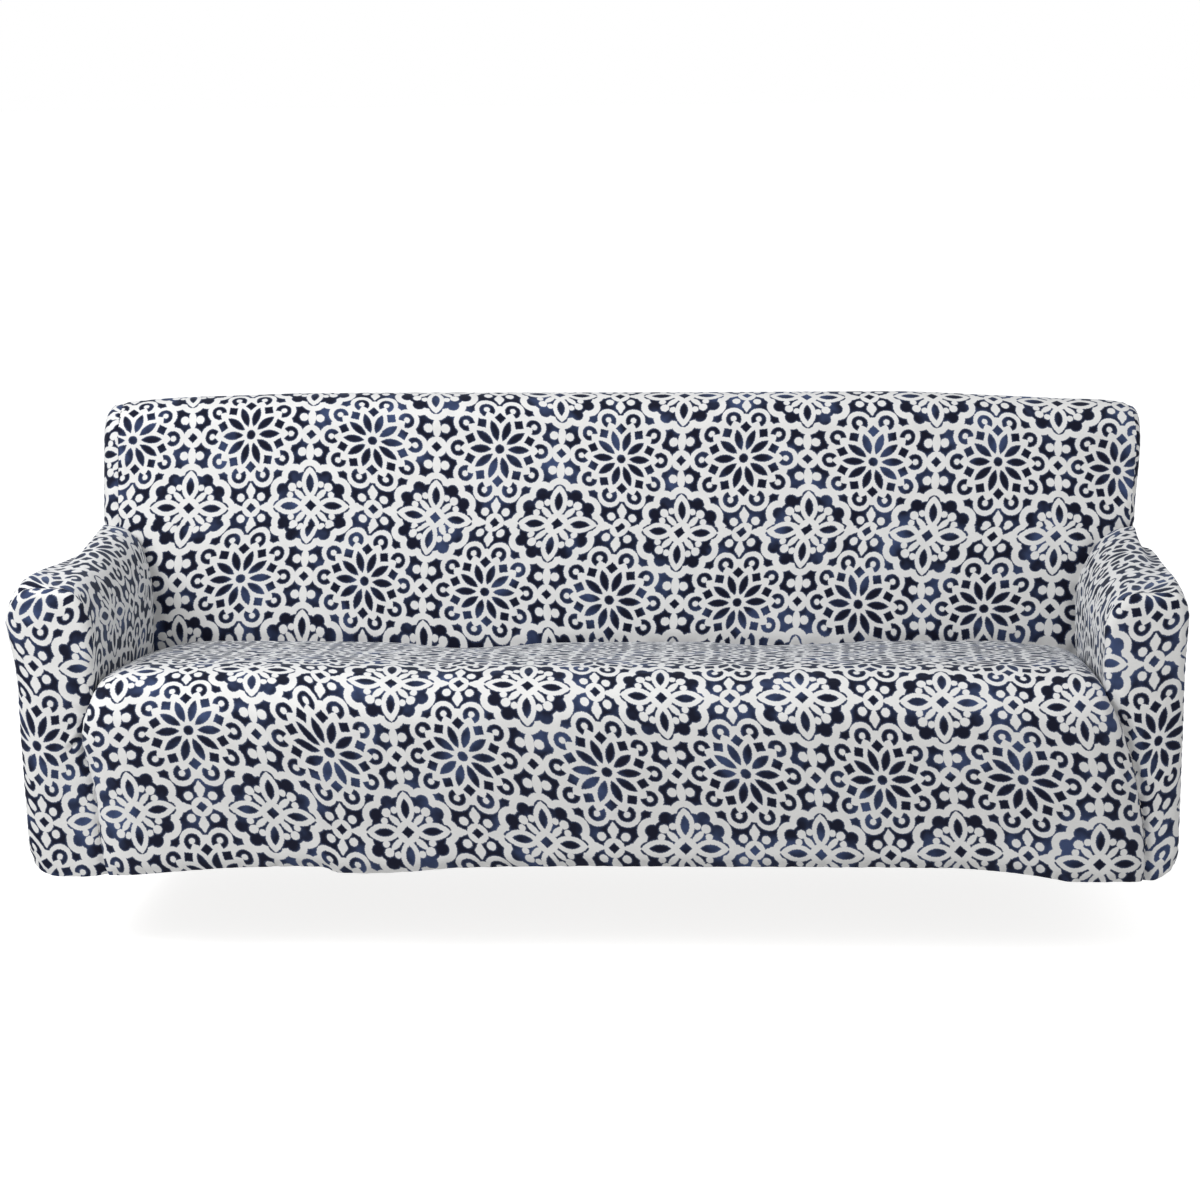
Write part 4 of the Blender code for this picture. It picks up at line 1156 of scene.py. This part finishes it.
def makeStitches(name):
    # one stitch, copied down the cloth beside its seam
    bpy.ops.object.select_all(action="DESELECT")
    bpy.ops.mesh.primitive_uv_sphere_add(segments=8, ring_count=6, radius=0.5)
    first = bpy.context.active_object
    first.scale = (stitches["thickness"], stitches["thickness"], stitches["length"])
    bpy.ops.object.transform_apply(location=False, rotation=False, scale=True)
    bpy.ops.object.shade_smooth()
    beside = grids["arm_front_" + name][: len(seatRows(name)), stitches["column"]]
    line = densely(drawIn(beside[::-1], pulls), step=0.001)
    run = np.insert(np.cumsum(np.linalg.norm(np.diff(line, axis=0), axis=1)), 0, 0)
    low, high = stitches["shown"][name]
    half = 3  # samples either way that give a stitch its direction
    for at in np.arange(0, run[-1], stitches["every"]):
        k = int(np.clip(np.searchsorted(run, at), half, len(line) - 1 - half))
        if not low < line[k, 2] < high:
            continue
        stitch = first.copy()
        stitch.data = first.data.copy()
        stitch.location = line[k] - (0, stitches["raised"], 0)
        stitch.rotation_euler = Vector(line[k + half] - line[k - half]).to_track_quat("Z", "Y").to_euler()
        bpy.context.scene.collection.objects.link(stitch)
        stitch.select_set(True)
        bpy.context.view_layer.objects.active = stitch
    first.select_set(False)
    bpy.data.objects.remove(first)
    bpy.ops.object.join()
    bpy.ops.object.transform_apply(location=True, rotation=True, scale=True)
    piece = bpy.context.active_object
    piece.name = "stitches_" + name
    piece.data.materials.append(threadMaterial)
    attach(piece, "root")
    print("stitches", name, len(piece.data.polygons), "faces")
    return piece


def dress(name, kind, origin, place, turned, flatAxis, drop="none"):
    grid = grids[name]
    uv = clothUv(grid, origin, place, turned, flatAxis, drop, pulled.get(kind, (1.0, 1.0)))
    drawn = drawIn(grid, pulls)
    piece = makeSheet("cloth_" + name, drawn, facing[name], uv, [velvetMaterial, backingWithHemShadow])
    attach(piece, "root")
    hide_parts(name)
    print("panel", name, len(piece.data.polygons), "faces")


middle = len(fine["across"]) // 2
rollRow = fine["armFace"] + fine["armRound"] + fine["gussetFace"]
dress("back_inner", "back_inner", (rollRow, middle), (0.0, 0.0), (1, 1), 0, "back")
sewing = [makeStitches(name) for name in sides]
dress("seat", "seat", (len(grids["seat"]) - 1, middle), (0.0, 0.03), (1, -1), 0, "seat")
dress("back_outer", "back_outer", (0, len(grids["back_outer"][0]) // 2), (0.0, 0.0), (-1, 1), 0)
for name, side in sides.items():
    dress("arm_" + name, "arm", (len(grids["arm_" + name]) - 1, 0), (0.0, 0.0), (1, -1), 1)
    front = grids["arm_front_" + name]
    place = (front[0, -1, 0], front[0, -1, 2])
    dress("arm_front_" + name, "arm_front", (0, len(front[0]) - 1), place, (side["sign"], 1), 0)
    dress("back_side_" + name, "back_side", (0, len(fine["gusset"]) // 2), (0.0, 0.0), (1, 1), 1)

# floor, sky and camera
studio = {
    "floorZ": -0.153,
    "floorSize": 400.0,
    "floorGlow": 0.80,
    "horizonLight": 1.0,
    "skyLight": 0.58,
    "lowerLight": 0.34,
    "cameraAt": (0.3212, -5.6535, 1.410),
    "yaw": 3.297,
    "pitch": 9.683,
    "roll": -0.605,
    "lens": 91.05,
    "horizonUp": (0.08, 0.35),  # heights on a sky of radius 1 between which its white fades overhead
    "horizonDown": (-0.02, -0.10),
}

# softboxes: name, place, aim, width, height, power in watts
softboxes = [
    ("key", (-2.5, -2.2, 2.7), (0.1, 0.1, 0.35), 2.0, 1.6, 108),
    ("fill", (2.6, -3.6, 2.2), (0.0, 0.0, 0.4), 2.0, 2.0, 22),
    ("top", (0.3, -0.2, 3.3), (0.2, 0.0, 0.4), 3.0, 1.6, 6),
]


def makeFloor():
    bpy.ops.object.select_all(action="DESELECT")
    bpy.ops.mesh.primitive_plane_add(size=studio["floorSize"], location=(0, 0, studio["floorZ"]))
    floor = bpy.context.active_object
    floor.name = "floor"
    floor.visible_diffuse = False  # the sky below the horizon stands in for its bounce
    material = newMaterial("whiteStudioFloor")
    shader = addNode(material, "BsdfPrincipled", None, {
        "Base Color": linear("#BFBFBF"), "Roughness": 1.0, "Specular IOR Level": 0.0,
        "Emission Color": linear("#FFFFFF"), "Emission Strength": studio["floorGlow"],
    })
    addNode(material, "OutputMaterial", None, {"Surface": shader.outputs[0]})
    floor.data.materials.append(material)


def makeSky():
    # white round the horizon, where the backdrop shows, and dimmer overhead and below
    world = bpy.data.worlds.new("studio")
    world.use_nodes = True
    world.node_tree.nodes.clear()
    way = addNode(world, "TexCoord")
    parted = addNode(world, "SeparateXYZ", None, {0: way.outputs["Generated"]})
    above = addNode(world, "MapRange", {"interpolation_type": "SMOOTHSTEP"}, {
        "Value": parted.outputs["Z"],
        "From Min": studio["horizonUp"][0], "From Max": studio["horizonUp"][1],
        "To Min": studio["horizonLight"], "To Max": studio["skyLight"],
    })
    below = addNode(world, "MapRange", {"interpolation_type": "SMOOTHSTEP"}, {
        "Value": parted.outputs["Z"],
        "From Min": studio["horizonDown"][0], "From Max": studio["horizonDown"][1],
        "To Min": above.outputs[0], "To Max": studio["lowerLight"],
    })
    sky = addNode(world, "Background", None, {"Strength": below.outputs[0]})
    addNode(world, "OutputWorld", None, {"Surface": sky.outputs[0]})
    sky.inputs["Color"].default_value = linear("#FFFFFF")
    bpy.context.scene.world = world


def addSoftbox(name, at, aim, width, height, power):
    light = bpy.data.lights.new(name, "AREA")
    light.shape, light.size, light.size_y, light.energy = "RECTANGLE", width, height, power
    lamp = bpy.data.objects.new(name, light)
    lamp.location = at
    lamp.rotation_euler = (Vector(aim) - Vector(at)).to_track_quat("-Z", "Y").to_euler()
    bpy.context.scene.collection.objects.link(lamp)


def makeCamera():
    yaw, pitch, roll = (math.radians(studio[k]) for k in ("yaw", "pitch", "roll"))
    ahead = Vector((-math.sin(yaw) * math.cos(pitch), math.cos(yaw) * math.cos(pitch), -math.sin(pitch)))
    right = Vector((math.cos(yaw), math.sin(yaw), 0))
    up = right.cross(ahead)
    across = math.cos(roll) * right + math.sin(roll) * up
    above = -math.sin(roll) * right + math.cos(roll) * up
    camera = bpy.data.objects.new("camera", bpy.data.cameras.new("camera"))
    turn = Matrix((across, above, -ahead)).transposed().to_4x4()
    camera.matrix_world = Matrix.Translation(studio["cameraAt"]) @ turn
    camera.data.lens = studio["lens"]
    camera.data.sensor_width = 36.0
    camera.data.clip_end = 200
    bpy.context.scene.collection.objects.link(camera)
    bpy.context.scene.camera = camera


makeFloor()
makeSky()
for softbox in softboxes:
    addSoftbox(*softbox)
makeCamera()
bpy.context.scene.view_settings.view_transform = "Standard"  # whites stay white
